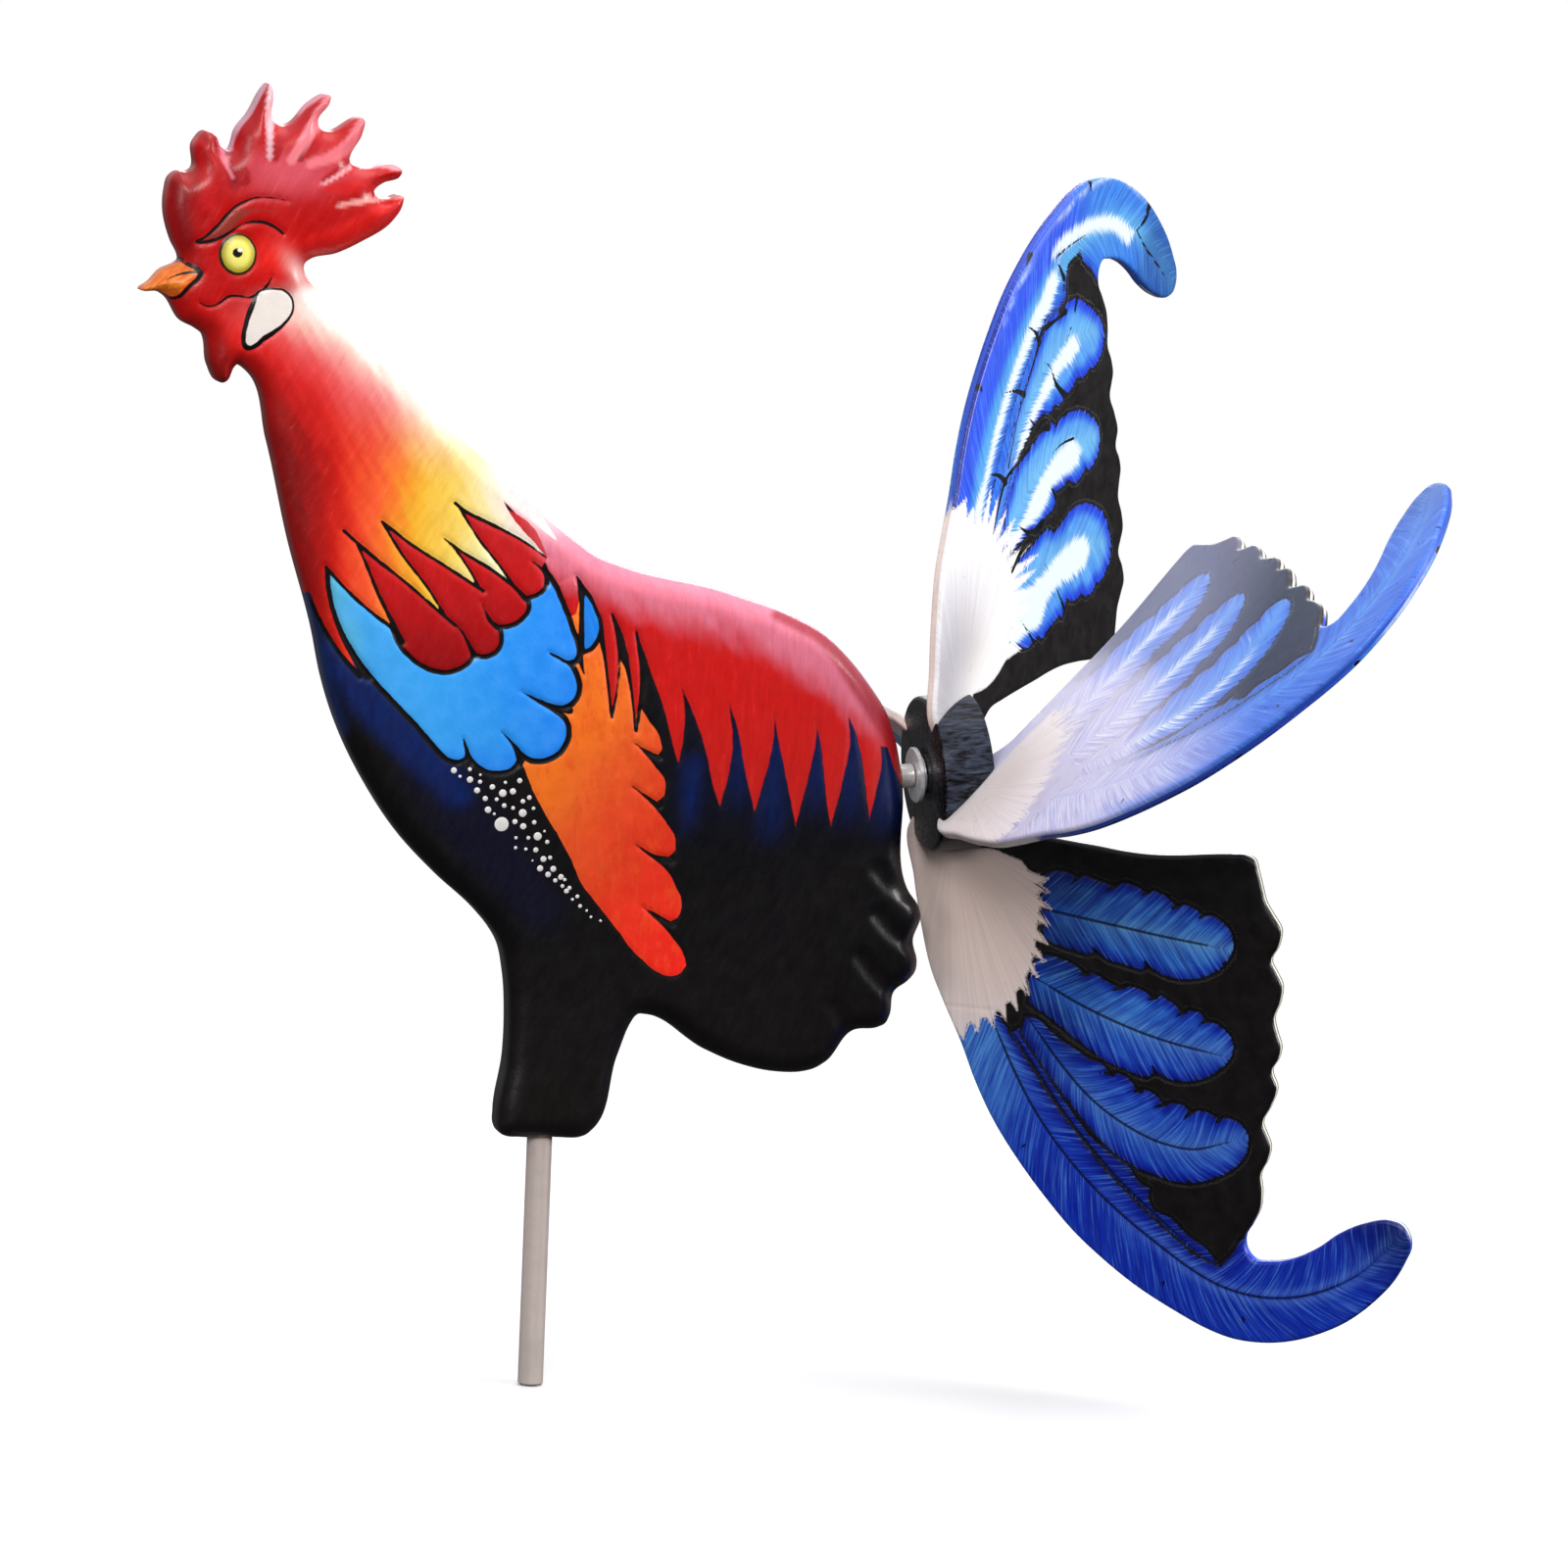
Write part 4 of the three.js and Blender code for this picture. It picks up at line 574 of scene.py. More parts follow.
def rooster():
    rim = even(cat(OUTLINE, 0.5, corner=75), 0.85)
    polys = dict(sWing=WING, sSaddle=SADDLE, sBlue=BLUE, sBlue2=BLUE2, sNeck=NECK, sHackle=HACKLE, sLobe=EARLOBE, sLobeEdge=EARLOBE_EDGE, sBrow=BROW, sBeak=BEAK,
                 sEye=EYE, sEyeRim=EYE_RIM, sPupil=PUPIL, sGlint=GLINT)

    def face_of(P, d):
        y = np.clip(board_height(d), 0, BOARD_T / 2)
        return face_xy(P, y)

    def weight(P):
        Q = P  # the flat of the face, where the lines are
        w = np.full(len(P), 9.0)
        for k, poly in polys.items():
            pad = {"sBlue": 1.0, "sHackle": 0.9}.get(k, 0.0)
            w = np.minimum(w, np.abs(np.abs(sd_poly(Q, poly) + pad) - pad))
        for s in INK:
            w = np.minimum(w, np.abs(sd_stroke(Q, *s)))
        for s, depth, width in GROOVES:
            w = np.minimum(w, np.clip(-sd_stroke(P, *s) - width, 0, 9) + 1.8)
        return w

    P, D, n = plate_points(rim, [0.22, 0.75, 1.55, 2.6], weight, 0.66, 8.5)
    F = plate_faces(P, n)
    h = board_height(D)
    Q = face_xy(P, h)
    fields = rooster_colours(Q)
    for k, poly in polys.items():
        fields[k] = sd_poly(Q, poly)
    ink = np.full(len(Q), -FAR)
    for s in INK:
        ink = np.maximum(ink, sd_stroke(Q, *s))
    fields["sInk"] = ink
    fields["sHackleOut"] = fields["sHackle"] + 1.85 * (1 - 1.3 * smooth01((Q[:, 1] - 306.5) / 4.0) * smooth01((Q[:, 0] + 26) / 8))
    fields["sBrow"] = fields["sBrow"] - 4.5 * smooth01((Q[:, 0] + 131) / 14.0)
    # carved relief, shallow along the painted lines and deeper between comb and rump feathers
    relief = 0.35 * np.exp(-(np.clip(-ink, 0, None) / 0.9) ** 2)
    for key in ("sEyeRim", "sLobeEdge"):
        relief += 0.30 * np.exp(-((fields[key]) / 0.8) ** 2)
    bare = smooth01(-fields["sNeck"] / 1.5)
    low = smooth01((312 - Q[:, 1]) / 6)
    relief += 0.40 * np.exp(-((fields["sBlue"] + 1.0) / 1.1) ** 2) * bare * smooth01(-(fields["sHackle"] + 0.5) / 1.5) * low
    relief += 0.35 * np.exp(-((fields["sHackle"] + 0.9) / 1.0) ** 2) * bare * smooth01(1 - (Q[:, 1] - 303) / 5)
    relief += 0.25 * np.exp(-((fields["sWing"]) / 0.9) ** 2) * (fields["sBlue"] < -2.5)
    relief += 0.20 * np.exp(-((fields["sSaddle"]) / 0.9) ** 2) * (Q[:, 1] < 292)
    for s, depth, width in GROOVES:
        q = sd_stroke(Q, *s)
        relief += (0.22 if s[0][0][1] > 300 else 0.62) * depth * np.exp(-(np.clip(-q, 0, None) / (1.15 * width)) ** 2)
    relief -= 0.9 * np.clip(fields["sEye"], 0, 3.0) / 3.0            # the eye is slightly domed
    relief *= np.clip(D / 2.0, 0.12, 1)
    h = np.minimum(h - relief, BOARD_T / 2)
    h = np.maximum(h, 0.6)
    fields["sWood"] = vnoise(Q, 30.0, 11)
    fields["px"], fields["pz"] = Q[:, 0], Q[:, 1]
    ob = plate_mesh("rooster_painted", P, F, n, h, h.copy(), 3, lambda a, b, c: np.column_stack([a, c, b]) * MM, fields, fields)
    return ob, h, P, D


# ------------------------------------------------------------------ blade paint
# Feathers painted on a blade, (radial, chordwise) in millimetres. Each is its outline and its quill.
FRONT_ROOT = [(-5, -70), (60, -60), (97, -12), (100.5, -9.5), (99.2, -6.8), (105, -2.2), (98.6, -0.8), (97.8, 1.6), (101.2, 4.0), (95.5, 5.6), (95, 8.0), (98.8, 10.6), (92.6, 11.4), (91.6, 13.2), (95.2, 16.0),
    (89.0, 15.8), (87.6, 18.2), (91.3, 21.0), (84.0, 20.4), (81.8, 22.4), (84.8, 26.2), (77.6, 24.4), (75.0, 26.2), (77.5, 30.2), (71.4, 27.2), (68.8, 28.2), (70.5, 32.8), (65.0, 28.8), (62.6, 29.4), (63.8, 33.8),
    (58.6, 29.8), (55.6, 30.4), (56.3, 35.0), (52.4, 30.8), (49.6, 31.2), (50, 36.2), (46.4, 31.2), (43.6, 31.0), (43.8, 35.8), (40.6, 30.6), (38.8, 35.0), (36.0, 27.0), (32.5, 24), (30.8, 18), (29.5, 14), (29, 4), (20, 0), (-5, 0)]
FRONT_PLUMES = [
    dict(outline=[(92, -16), (107, -9), (121, -4), (135, 3), (155, 16), (168, 27), (180, 38), (191, 52), (200, 66), (209, 84), (214, 97), (217, 110), (217, 132), (210, 148), (203, 160), (192, 172), (182, 182), (166, 188), (154, 184), (151, 172), (157, 158), (166, 143), (172, 130), (173, 119), (170, 112), (176, 108.5), (181.5, 103),
        (179, 94), (174, 86), (164, 73), (152, 59), (140, 48), (126, 36), (112, 26), (98.8, 17), (92, 12)],
        rachis=[(98.8, 11.5), (115, 19), (130, 27.5), (145, 39), (157.5, 51.5), (167.5, 64), (177.5, 79), (185, 91.5), (190, 103), (192.5, 118), (191.3, 132), (186.3, 147), (177.5, 161.5), (167.5, 171.5)], kind="sickle"),
    dict(outline=[(97.5, 21.5), (100, 17), (112, 26), (126, 36), (140, 48), (152, 59), (164, 73), (174, 86), (181, 98), (182.5, 104), (176, 98), (171, 90), (165.4, 83), (163.8, 77.2), (159.5, 74.8), (155, 75.4), (152.4, 70.2), (147.6, 66.8), (144, 61), (138, 52), (128, 43), (114, 32.5)],
        rachis=[(101, 19.5), (115, 29.5), (129, 39.5), (142, 51), (153, 62), (164, 75.5), (175, 90)], kind="dark"),
    dict(outline=[(92.5, 24), (100, 21.5), (112.5, 31), (125, 41.5), (135, 50.5), (141, 57), (144.4, 62), (147.2, 67.4), (149.4, 73.4), (150.4, 79), (151.6, 84), (151.8, 90), (150.8, 96), (148.6, 102), (145.2, 108), (140.8, 113), (135.2, 116), (129.6, 116.2), (125.6, 113),
        (123.6, 107), (124.6, 104.2), (122.8, 100.6), (122.3, 95.6), (123.4, 92.6), (120.6, 89.6), (120.4, 84.4), (121.6, 81.6), (117.6, 77.6), (116.2, 73.4), (117.4, 71.2), (112.6, 66.8), (110.8, 62), (112.0, 59.6), (107.8, 55.8), (106.4, 50.6), (103.4, 45), (98.8, 36.4), (93, 29)],
        rachis=[(97.5, 28.5), (110, 38.5), (122.5, 51), (131.5, 65.5), (137, 81), (137.8, 94), (134.3, 105.5)], kind="plume"),
    dict(outline=[(71, 28), (88, 25), (92.5, 33.6), (97.6, 41), (102.6, 49), (106.6, 55.6), (109.4, 62.4), (111.4, 69.6), (112.4, 74.4), (110.0, 78.4), (111.8, 83), (112.4, 89), (111.2, 95.6), (108.4, 101.8), (104.6, 106.6), (99.4, 110.2), (94.4, 110.4), (90.4, 107.6), (87.8, 103.6),
        (87.4, 99.6), (84.4, 97.4), (83.8, 92.6), (85.2, 90.2), (81.8, 86.2), (79.2, 81), (80.6, 78.2), (77.8, 73.4), (76.6, 67.4), (78.0, 64.8), (75.8, 59.4), (72.6, 52.6), (74.0, 50.2), (70.6, 45.4), (68.2, 38), (67.4, 31)],
        rachis=[(80, 34), (85.6, 46), (90.5, 59), (95.0, 74), (97.6, 86), (99.5, 99)], kind="plume"),
    dict(outline=[(38, 32), (62, 32), (64.2, 38), (65.8, 45), (66.6, 51.8), (65.2, 54.4), (68.0, 59.4), (69.4, 66), (70.8, 73), (69.0, 76.0), (71.8, 82), (72.8, 89.4), (71.8, 96.6), (69, 103), (64.6, 108.2), (59, 111.2), (53.2, 110.8), (49, 107.4), (46.6, 103.2),
        (46.8, 99.4), (44.6, 95.6), (43.4, 91.0), (44.4, 88.2), (41.0, 84.4), (38.8, 79), (40.2, 76.2), (37.8, 71.4), (37.2, 65.6), (38.8, 63.0), (37.4, 57.4), (35.4, 50.6), (36.6, 48.0), (34.8, 42.4), (35.4, 36)],
        rachis=[(50.5, 34), (52.6, 50), (54.6, 66), (56.6, 82), (58.3, 99)], kind="plume"),
]
SIDE_ROOT = [(-5, -70), (60, -60), (80, -14), (86.5, -8), (80, -5.6), (84.5, -1.6), (78, 0.5), (82, 4.8), (76, 5.8), (80.5, 10.6), (74, 11.2), (77.5, 16.4), (71, 15.8), (73.5, 21.4), (67, 20.0), (69.5, 27.4), (63, 24.8), (64.5, 33),
    (58, 29.8), (58.5, 38.4), (53, 33.2), (52.5, 41.5), (47.5, 35.8), (46, 43), (42, 37), (39.5, 41.5), (36.5, 36), (33, 38.5), (31, 28), (29.5, 14), (29, 4), (20, 0), (-5, 0)]
REAR_ROOT = [(-5, -70), (60, -60), (99, -14), (101, -6), (103.5, 2.0), (96.8, 3.4), (99.5, 8.2), (93.0, 8.4), (96.0, 13.6), (92, 14.2), (105, 22.0), (90.6, 18.6), (100, 27.4), (87, 22.6), (94.0, 33.4), (83.6, 26.4), (90.0, 40.4), (79.0, 30.4),
    (84.5, 47.0), (75.6, 34.0), (78.5, 52.0), (71.4, 36.6), (73.0, 58.0), (67.0, 38.0), (67.4, 56.0), (62.0, 38.6), (60.4, 52.6), (56.6, 37.6), (54.0, 49.4), (50.2, 36.2), (46.5, 46.6), (43.4, 34.4), (38.8, 42), (37.0, 30), (33, 24), (29.5, 14), (29, 4), (20, 0), (-5, 0)]
REAR_PLUMES = [
    dict(outline=[(70, 26), (92, 10), (110, 18), (130, 28), (150, 42), (166, 58), (174, 74), (176, 86), (168, 86), (161, 74), (156, 68), (144, 68), (137, 60), (127, 60), (121, 52), (113, 44), (104, 44), (96, 38), (84, 38), (74, 36)],
        rachis=[(80, 26), (110, 36), (140, 54), (166, 80)], kind="dark"),
    dict(outline=[(92, -16), (107, -9), (121, -4), (135, 3), (155, 16), (168, 27), (180, 38), (191, 52), (200, 66), (209, 84), (214, 97), (217, 110), (217, 132), (210, 148), (203, 160), (192, 172), (182, 182), (166, 188), (154, 184), (151, 172), (157, 158), (166, 143), (172, 130), (173, 119), (171, 111), (176, 106), (180, 100), (184, 97), (180.5, 88), (172, 84.5), (166.5, 84.0), (164.0, 74.5), (158.5, 64.0), (146, 52.5), (131, 40.5), (116, 30.5), (100, 22), (90, 14)],
        rachis=[(98.8, 11.5), (115, 18.5), (130, 28), (145, 40), (157.5, 52), (168.5, 65), (179, 80), (186.5, 93), (191, 105), (193, 119), (191.3, 133), (186.3, 147), (177.5, 161.5), (167.5, 171.5)], kind="sickle"),
    dict(outline=[(84, 28), (90, 22), (112.5, 33.5), (130, 43.6), (145, 55.6), (157.5, 66), (162.6, 72), (164.4, 77), (162.6, 80.6), (166.6, 86.5), (167.2, 94), (165.0, 100), (160, 109), (154, 115.4), (147.6, 116.8), (141.6, 113), (137.8, 107.4), (138.6, 104.0), (135.6, 99.4), (135.8, 92.6),
        (132.2, 88.4), (130.6, 83.4), (127.4, 78.4), (128.4, 75.2), (125.6, 70.2), (126.2, 64.6), (124.0, 59.2), (117, 50), (108, 40), (97, 33.6)],
        rachis=[(92, 26.5), (110, 36), (126, 47.5), (140, 61.5), (149, 76), (152.6, 90), (152.8, 103)], kind="plume"),
    dict(outline=[(76, 34), (90, 31), (100, 36.5), (110, 44.4), (117.6, 58.6), (121.0, 65.6), (122.6, 71.6), (120.4, 75.2), (123.2, 80.4), (124, 88), (123.2, 96.5), (120.6, 103.4), (117.3, 108.6), (110.4, 111.6), (104.6, 109.8), (100.4, 105.4), (98.6, 101.0), (99.4, 98.2), (96.4, 94.0), (95.8, 87.6),
        (97.4, 85.0), (95.4, 79.0), (94.6, 73.8), (90.6, 73.0), (87.4, 70.8), (86.6, 65.8), (83.4, 61.6), (81.6, 56.2), (83.2, 53.2), (81.4, 48), (78.6, 41.6)],
        rachis=[(84, 34), (95, 46), (104, 59), (108.6, 73), (110.4, 86), (110.6, 98)], kind="plume"),
    dict(outline=[(40, 33), (66, 35), (72.5, 40.5), (77.5, 54), (80.6, 61), (81.6, 66.8), (79.6, 71.4), (81.6, 76.8), (85.2, 83.6), (87, 91), (86.6, 98), (83.8, 106.4), (80.2, 112.6), (74.6, 116.6), (68, 118.6), (61.6, 117.6), (56.4, 113.8), (53.0, 108.4), (53.4, 105.0), (50.2, 101.6), (49.4, 95.4), (51.4, 92.6),
        (49.6, 88.4), (51.2, 80.4), (47.0, 78.8), (44.8, 76), (45.6, 72.4), (42.6, 66.4), (39.2, 59.6), (40.8, 56.4), (38.6, 50), (39.0, 43), (40.8, 38)],
        rachis=[(60, 36), (65.0, 50), (68.8, 64), (70.6, 78), (70.6, 90), (69.4, 102)], kind="plume"),
]
TICKS_FRONT = [([(203.5, 113.5), (199.5, 110.8)], [2.4, 0.2]), ([(194.2, 78.5), (190.0, 80.4)], [2.6, 0.3]), ([(146.5, 20.5), (142.5, 24.0)], [2.4, 0.3]), ([(193.6, 166.5), (189, 162.5)], [2.0, 0.3]), ([(170.5, 44.0), (166.5, 47.5)], [2.0, 0.3])]
TICKS_REAR = [([(43.5, 81.0), (50, 77.2), (58.5, 71.5)], [3.2, 1.6, 0.2]), ([(37, 67), (43.5, 64.5)], [2.2, 0.3]), ([(36, 56), (43, 50), (50, 43)], [2.6, 1.2, 0.2]), ([(84.5, 62), (82.2, 54), (86.5, 42.5)], [3.4, 2.4, 0.2]),
    ([(70, 37), (76, 44), (81.5, 56)], [1.6, 2.6, 3.6]), ([(92, 74), (96, 71), (99.5, 66.5)], [2.4, 1.4, 0.2]), ([(86.5, 22.8), (97, 27.8), (106, 34), (110.5, 43.5), (114.5, 53)], [0.5, 1.3, 1.8, 1.2, 1.4]),
    ([(105, 33.5), (108, 29), (110, 20.5)], [3.0, 1.6, 0.2]), ([(110, 36), (119, 40), (129, 45), (140, 53), (150, 60), (159, 66)], [1.0, 0.6, 0.8, 0.6, 1.4, 2.4]), ([(120.5, 69), (122, 60), (127.5, 52)], [3.2, 1.8, 0.2]),
    ([(130, 84), (136, 76), (144.5, 70), (146, 66)], [3.4, 2.2, 1.0, 0.2]), ([(136, 50), (138.2, 44), (139, 33)], [2.6, 1.3, 0.2]), ([(154, 63), (158.5, 60), (161.5, 53.5)], [2.8, 1.5, 0.2]), ([(159, 68), (160.5, 75), (163, 85)], [2.6, 1.4, 2.6]),
    ([(150, 84), (158, 90), (168, 95)], [0.3, 1.2, 2.0]), ([(176, 84), (181.5, 80), (184, 76)], [2.6, 1.2, 0.2]), ([(184.5, 77), (187.5, 88), (190.5, 103.5)], [1.2, 0.9, 0.4]), ([(113.2, 89), (112.6, 80), (110, 71)], [1.2, 0.9, 0.3]),
    ([(214, 107.5), (209, 107.5), (204, 108.5)], [3.4, 2.0, 0.3]), ([(196, 157), (191, 153.5), (187, 146)], [3.6, 2.2, 0.6]), ([(164.5, 170), (171, 162.5), (179, 152.5), (187, 145)], [0.5, 1.3, 1.3, 0.7]), ([(146, 9), (144.5, 14), (140, 20.5)], [3.2, 2.2, 0.3]),
    ([(188.5, 59), (184, 53.5)], [1.6, 0.4])]
# white heart of the feathers on the rear face
WHITE_REAR = [
    [(38, 30), (44, 48), (45.5, 59), (51, 63), (57, 71), (59, 84), (62, 96), (67.5, 100.5), (73, 97), (74, 88), (70.5, 75), (65.5, 62), (61.5, 48), (63, 34), (50, 24)],
    [(76, 32), (84, 49), (89, 63), (97, 71), (99.5, 82), (102, 91.5), (107.5, 95.5), (112.5, 90), (111.5, 80), (105.5, 67), (96, 54), (86, 42), (84, 32)],
    [(110, 40), (119, 52), (127, 60), (133, 70), (141, 81), (143.5, 91), (148, 96.5), (153, 92), (149.5, 82), (142.5, 71), (132, 59), (121, 47)],
    [(88, 10), (104, 18.5), (124, 30), (142, 44), (157, 59.5), (168, 74.5), (175.5, 81), (179.5, 76.5), (171, 65), (158, 51.5), (143, 38), (127, 26.5), (110, 17), (94, 8)],
    [(184, 74), (188.5, 92), (190.5, 110), (188, 127), (182.5, 139), (186.5, 143.5), (193, 132), (196.5, 113), (194, 93), (188.5, 77)],
]
# pale hearts on the front face of the second blade
WHITE_SIDE = [
    [(46, 34), (50, 52), (52.5, 72), (53.5, 92), (57.5, 101), (61.5, 92), (60, 72), (58.5, 52), (58, 34)],
    [(78, 36), (86, 50), (91, 66), (94, 84), (97, 98), (101.5, 94), (101, 80), (97.5, 62), (93, 46), (88, 34)],
    [(100, 36), (112, 46), (124, 56), (133, 68), (138, 82), (139.5, 96), (144, 90), (143, 76), (137, 62), (126, 50), (112, 38)],
]


def nearest_on(P, A):
    """distance to a path, arc length along it and side of it"""
    B0, B1 = A[:-1], A[1:]
    E = B1 - B0
    L = np.hypot(*E.T) + 1e-9
    S = np.concatenate([[0], np.cumsum(L)])
    dist, arc, side = np.full(len(P), 1e9), np.zeros(len(P)), np.ones(len(P))
    for k in range(len(E)):
        d = P - B0[k]
        t = (d @ E[k]) / L[k] ** 2
        # beyond the ends the path runs on straight
        tc = np.clip(t, -1e9 if k == 0 else 0, 1e9 if k == len(E) - 1 else 1)
        r = d - tc[:, None] * E[k]
        q = np.hypot(*r.T)
        m = q < dist
        dist[m] = q[m]
        arc[m] = S[k] + tc[m] * L[k]
        side[m] = np.sign(E[k][0] * d[m, 1] - E[k][1] * d[m, 0])
    return dist, arc, side


def feather_fields(Q, plumes, root, ticks, rear, whites=(), pale_paint_and_glare=0.0):
    """colours and edges of one side of a blade"""
    n1, n2 = vnoise(Q, 16.0, 21 + rear), vnoise(Q, 4.0, 22 + rear)
    col = np.tile(lin([0.035, 0.030, 0.040]), (len(Q), 1))
    col = over(col, lin([0.09, 0.07, 0.06]), 0.5 * n1)
    edge = np.full(len(Q), -FAR)              # inside of any feather
    gap = np.full(len(Q), FAR)                # distance to the nearest visible feather outline
    quill = np.full(len(Q), -FAR)
    barb = np.zeros((len(Q), 3))
    amount = np.zeros(len(Q))
    free = np.ones(len(Q), bool)
    near_root = np.hypot(Q[:, 0] - 45, Q[:, 1] - 5)
    for k, pl in enumerate(reversed(plumes)):
        poly = cat(pl["outline"], 0.7, corner=38)
        ra = cat(pl["rachis"], 1.5, closed=False)
        s = sd_poly(Q, poly)
        gap = np.where(free, np.minimum(gap, np.abs(s)), gap)
        m = (s > -1.2) & free
        take = (s > 0) & free
        d, a, side = nearest_on(Q[m], ra)
        sm = s[m]
        u = np.clip(sm / (5.5 if pl["kind"] != "sickle" else 6.5), 0, 1)
        core = np.exp(-(d / 4.2) ** 2)
        # front and rear take different ramps: the front's darker blues are partly painted shade, the rear's paler
        # blues partly painted light
        if pl["kind"] == "plume":
            c = ramp(u + 0.25 * (n2[m] - 0.5), [(0, (0.04, 0.13, 0.60)), (0.35, (0.06, 0.22, 0.74)), (0.7, (0.13, 0.38, 0.84)), (1.1, (0.24, 0.52, 0.90))] if not rear else
                     [(0, (0.07, 0.22, 0.78)), (0.35, (0.12, 0.34, 0.88)), (0.7, (0.24, 0.54, 0.94)), (1.1, (0.38, 0.68, 0.97))])
            c = over(c, lin([0.42, 0.70, 0.92]), 0.80 * core * smooth01((a - 8) / 26))
            tipd = smooth01((a - a.max() + 14) / 14)
            c = over(c, lin([0.12, 0.36, 0.85]), 0.25 * tipd)
            if rear:
                mid = pl["outline"][0] == (76, 34)
                c = over(c, lin([0.50, 0.80, 0.97]), (0.65 if mid else 0.40) * np.exp(-(d / 6.0) ** 2))
                c = over(c, lin([0.12, 0.24, 0.90]), (0.55 if mid else 0.85) * (1 - smooth01((sm - 1.0) / (4.0 if mid else 6.5))) * (1.0 if mid else 0.45 + 0.55 * smooth01((Q[m, 1] - 78) / 14)))
            else:
                c = over(c, lin([0.03, 0.14, 0.42]), 0.75 * smooth01((34 - a) / 28) * (1 - core * 0.5))
        elif pl["kind"] == "dark":
            c = ramp(u + 0.3 * (n2[m] - 0.5), [(0, (0.03, 0.06, 0.40)), (0.5, (0.05, 0.12, 0.58)), (1.1, (0.08, 0.20, 0.70))] if not rear else [(0, (0.08, 0.16, 0.70)), (0.5, (0.10, 0.28, 0.85)), (1.1, (0.2, 0.5, 0.95))])
            c = over(c, lin([0.12, 0.30, 0.80]), 0.4 * core)
        else:
            c = ramp(u + 0.25 * (n2[m] - 0.5), [(0, (0.05, 0.10, 0.56)), (0.4, (0.07, 0.18, 0.70)), (0.8, (0.09, 0.28, 0.80)), (1.15, (0.12, 0.34, 0.84))] if not rear else
                     [(0, (0.10, 0.20, 0.78)), (0.4, (0.12, 0.32, 0.86)), (0.8, (0.20, 0.48, 0.92)), (1.15, (0.28, 0.58, 0.95))])
            if not rear:
                c = over(c, lin([0.34, 0.60, 0.90]), 0.75 * smooth01((60 - a) / 60) * smooth01((sm - 1) / 4))
            inner = side > 0
            c = over(c, lin([0.20, 0.48, 0.90]), 0.35 * np.exp(-((d - 5) / 5.0) ** 2) * smooth01((a - 2) / 25) * (0.4 + 0.6 * rear))
            c = over(c, lin([0.42, 0.66, 0.93]), 0.65 * np.exp(-((d - 1.8) / 1.8) ** 2) * smooth01((a - 60) / 60))
            c = over(c, lin([0.03, 0.08, 0.30]), (0.75 if not rear else 0.25) * smooth01((a - 185) / 35))
            if rear:
                c = over(c, lin([0.40, 0.74, 0.94]), 0.8 * np.exp(-((d) / 6.0) ** 2))
                c = over(c, lin([0.20, 0.32, 0.94]), 0.85 * smooth01((d * (side < 0) - 4.0) / 5.0) * smooth01((150 - a) / 30))
                rim = (side < 0) * smooth01((190 - a) / 30)
                c = over(c, lin([0.05, 0.09, 0.52]), 0.9 * rim * smooth01((7.0 - sm) / 1.5) * smooth01((110 - a) / 60 + 0.25))
                # painted highlight: a thin pale line inside the outer rim, where the bevelled edge catches the light
                c = over(c, lin([0.80, 0.90, 1.0]), 0.85 * rim * np.exp(-((sm - 8.0) / 0.8) ** 2) * smooth01((a - 55) / 25))
                c = over(c, lin([0.13, 0.33, 0.62]), 0.75 * smooth01((a - 176) / 16))
        cc = col[m]
        f = take[m].astype(float)
        # the colour carries a little past the outline, so the paint edge is cut by the shader alone
        col[m] = np.where((f > 0)[:, None] | (edge[m] < sm)[:, None], c, cc)
        edge = np.where(free, np.maximum(edge, s), edge)
        quill[m] = np.where(take[m] & (rear == 0) & (pale_paint_and_glare == 0), 0.55 * np.interp(a / a.max(), [0, 0.05, 0.8, 0.93, 1], [0.6, 1, 0.8, 0.2, -3]) - d, quill[m])
        b = np.column_stack([(a - 0.85 * d), d * side, np.full(len(d), 40.0 * (k + 1))])
        barb[m] = b
        amount[m] = np.maximum(amount[m], 1.0)
        free = free & ~(s > 0)
    rp = cat(root, 0.7, corner=20)
    r = sd_poly(Q, rp)
    rk = ramp(np.clip(near_root / 70, 0, 1) + 0.15 * (n1 - 0.5), [(0, (0.96, 0.86, 0.82)), (0.5, (0.95, 0.87, 0.84)), (0.85, (0.95, 0.90, 0.90)), (1.1, (0.97, 0.95, 0.97))] if not rear else
              [(0, (0.95, 0.93, 0.92)), (0.3, (1.0, 0.99, 0.99)), (0.8, (1.0, 1.0, 1.0)), (1.1, (0.98, 0.99, 1.0))])
    dr, ar, _ = nearest_on(Q, np.array([(20.0, -4.0), (30.0, 2.0), (36.0, 4.0)]))
    th = np.arctan2(Q[:, 1] + 6, Q[:, 0] - 22)
    rays = np.column_stack([th * 60.0, near_root * 0.25, np.zeros(len(Q))])
    white = np.full(len(Q), -FAR)
    for w in whites:
        white = np.maximum(white, sd_poly(Q, cat(w, 1.0, corner=80)) - (1.6 if pale_paint_and_glare else 0.0))
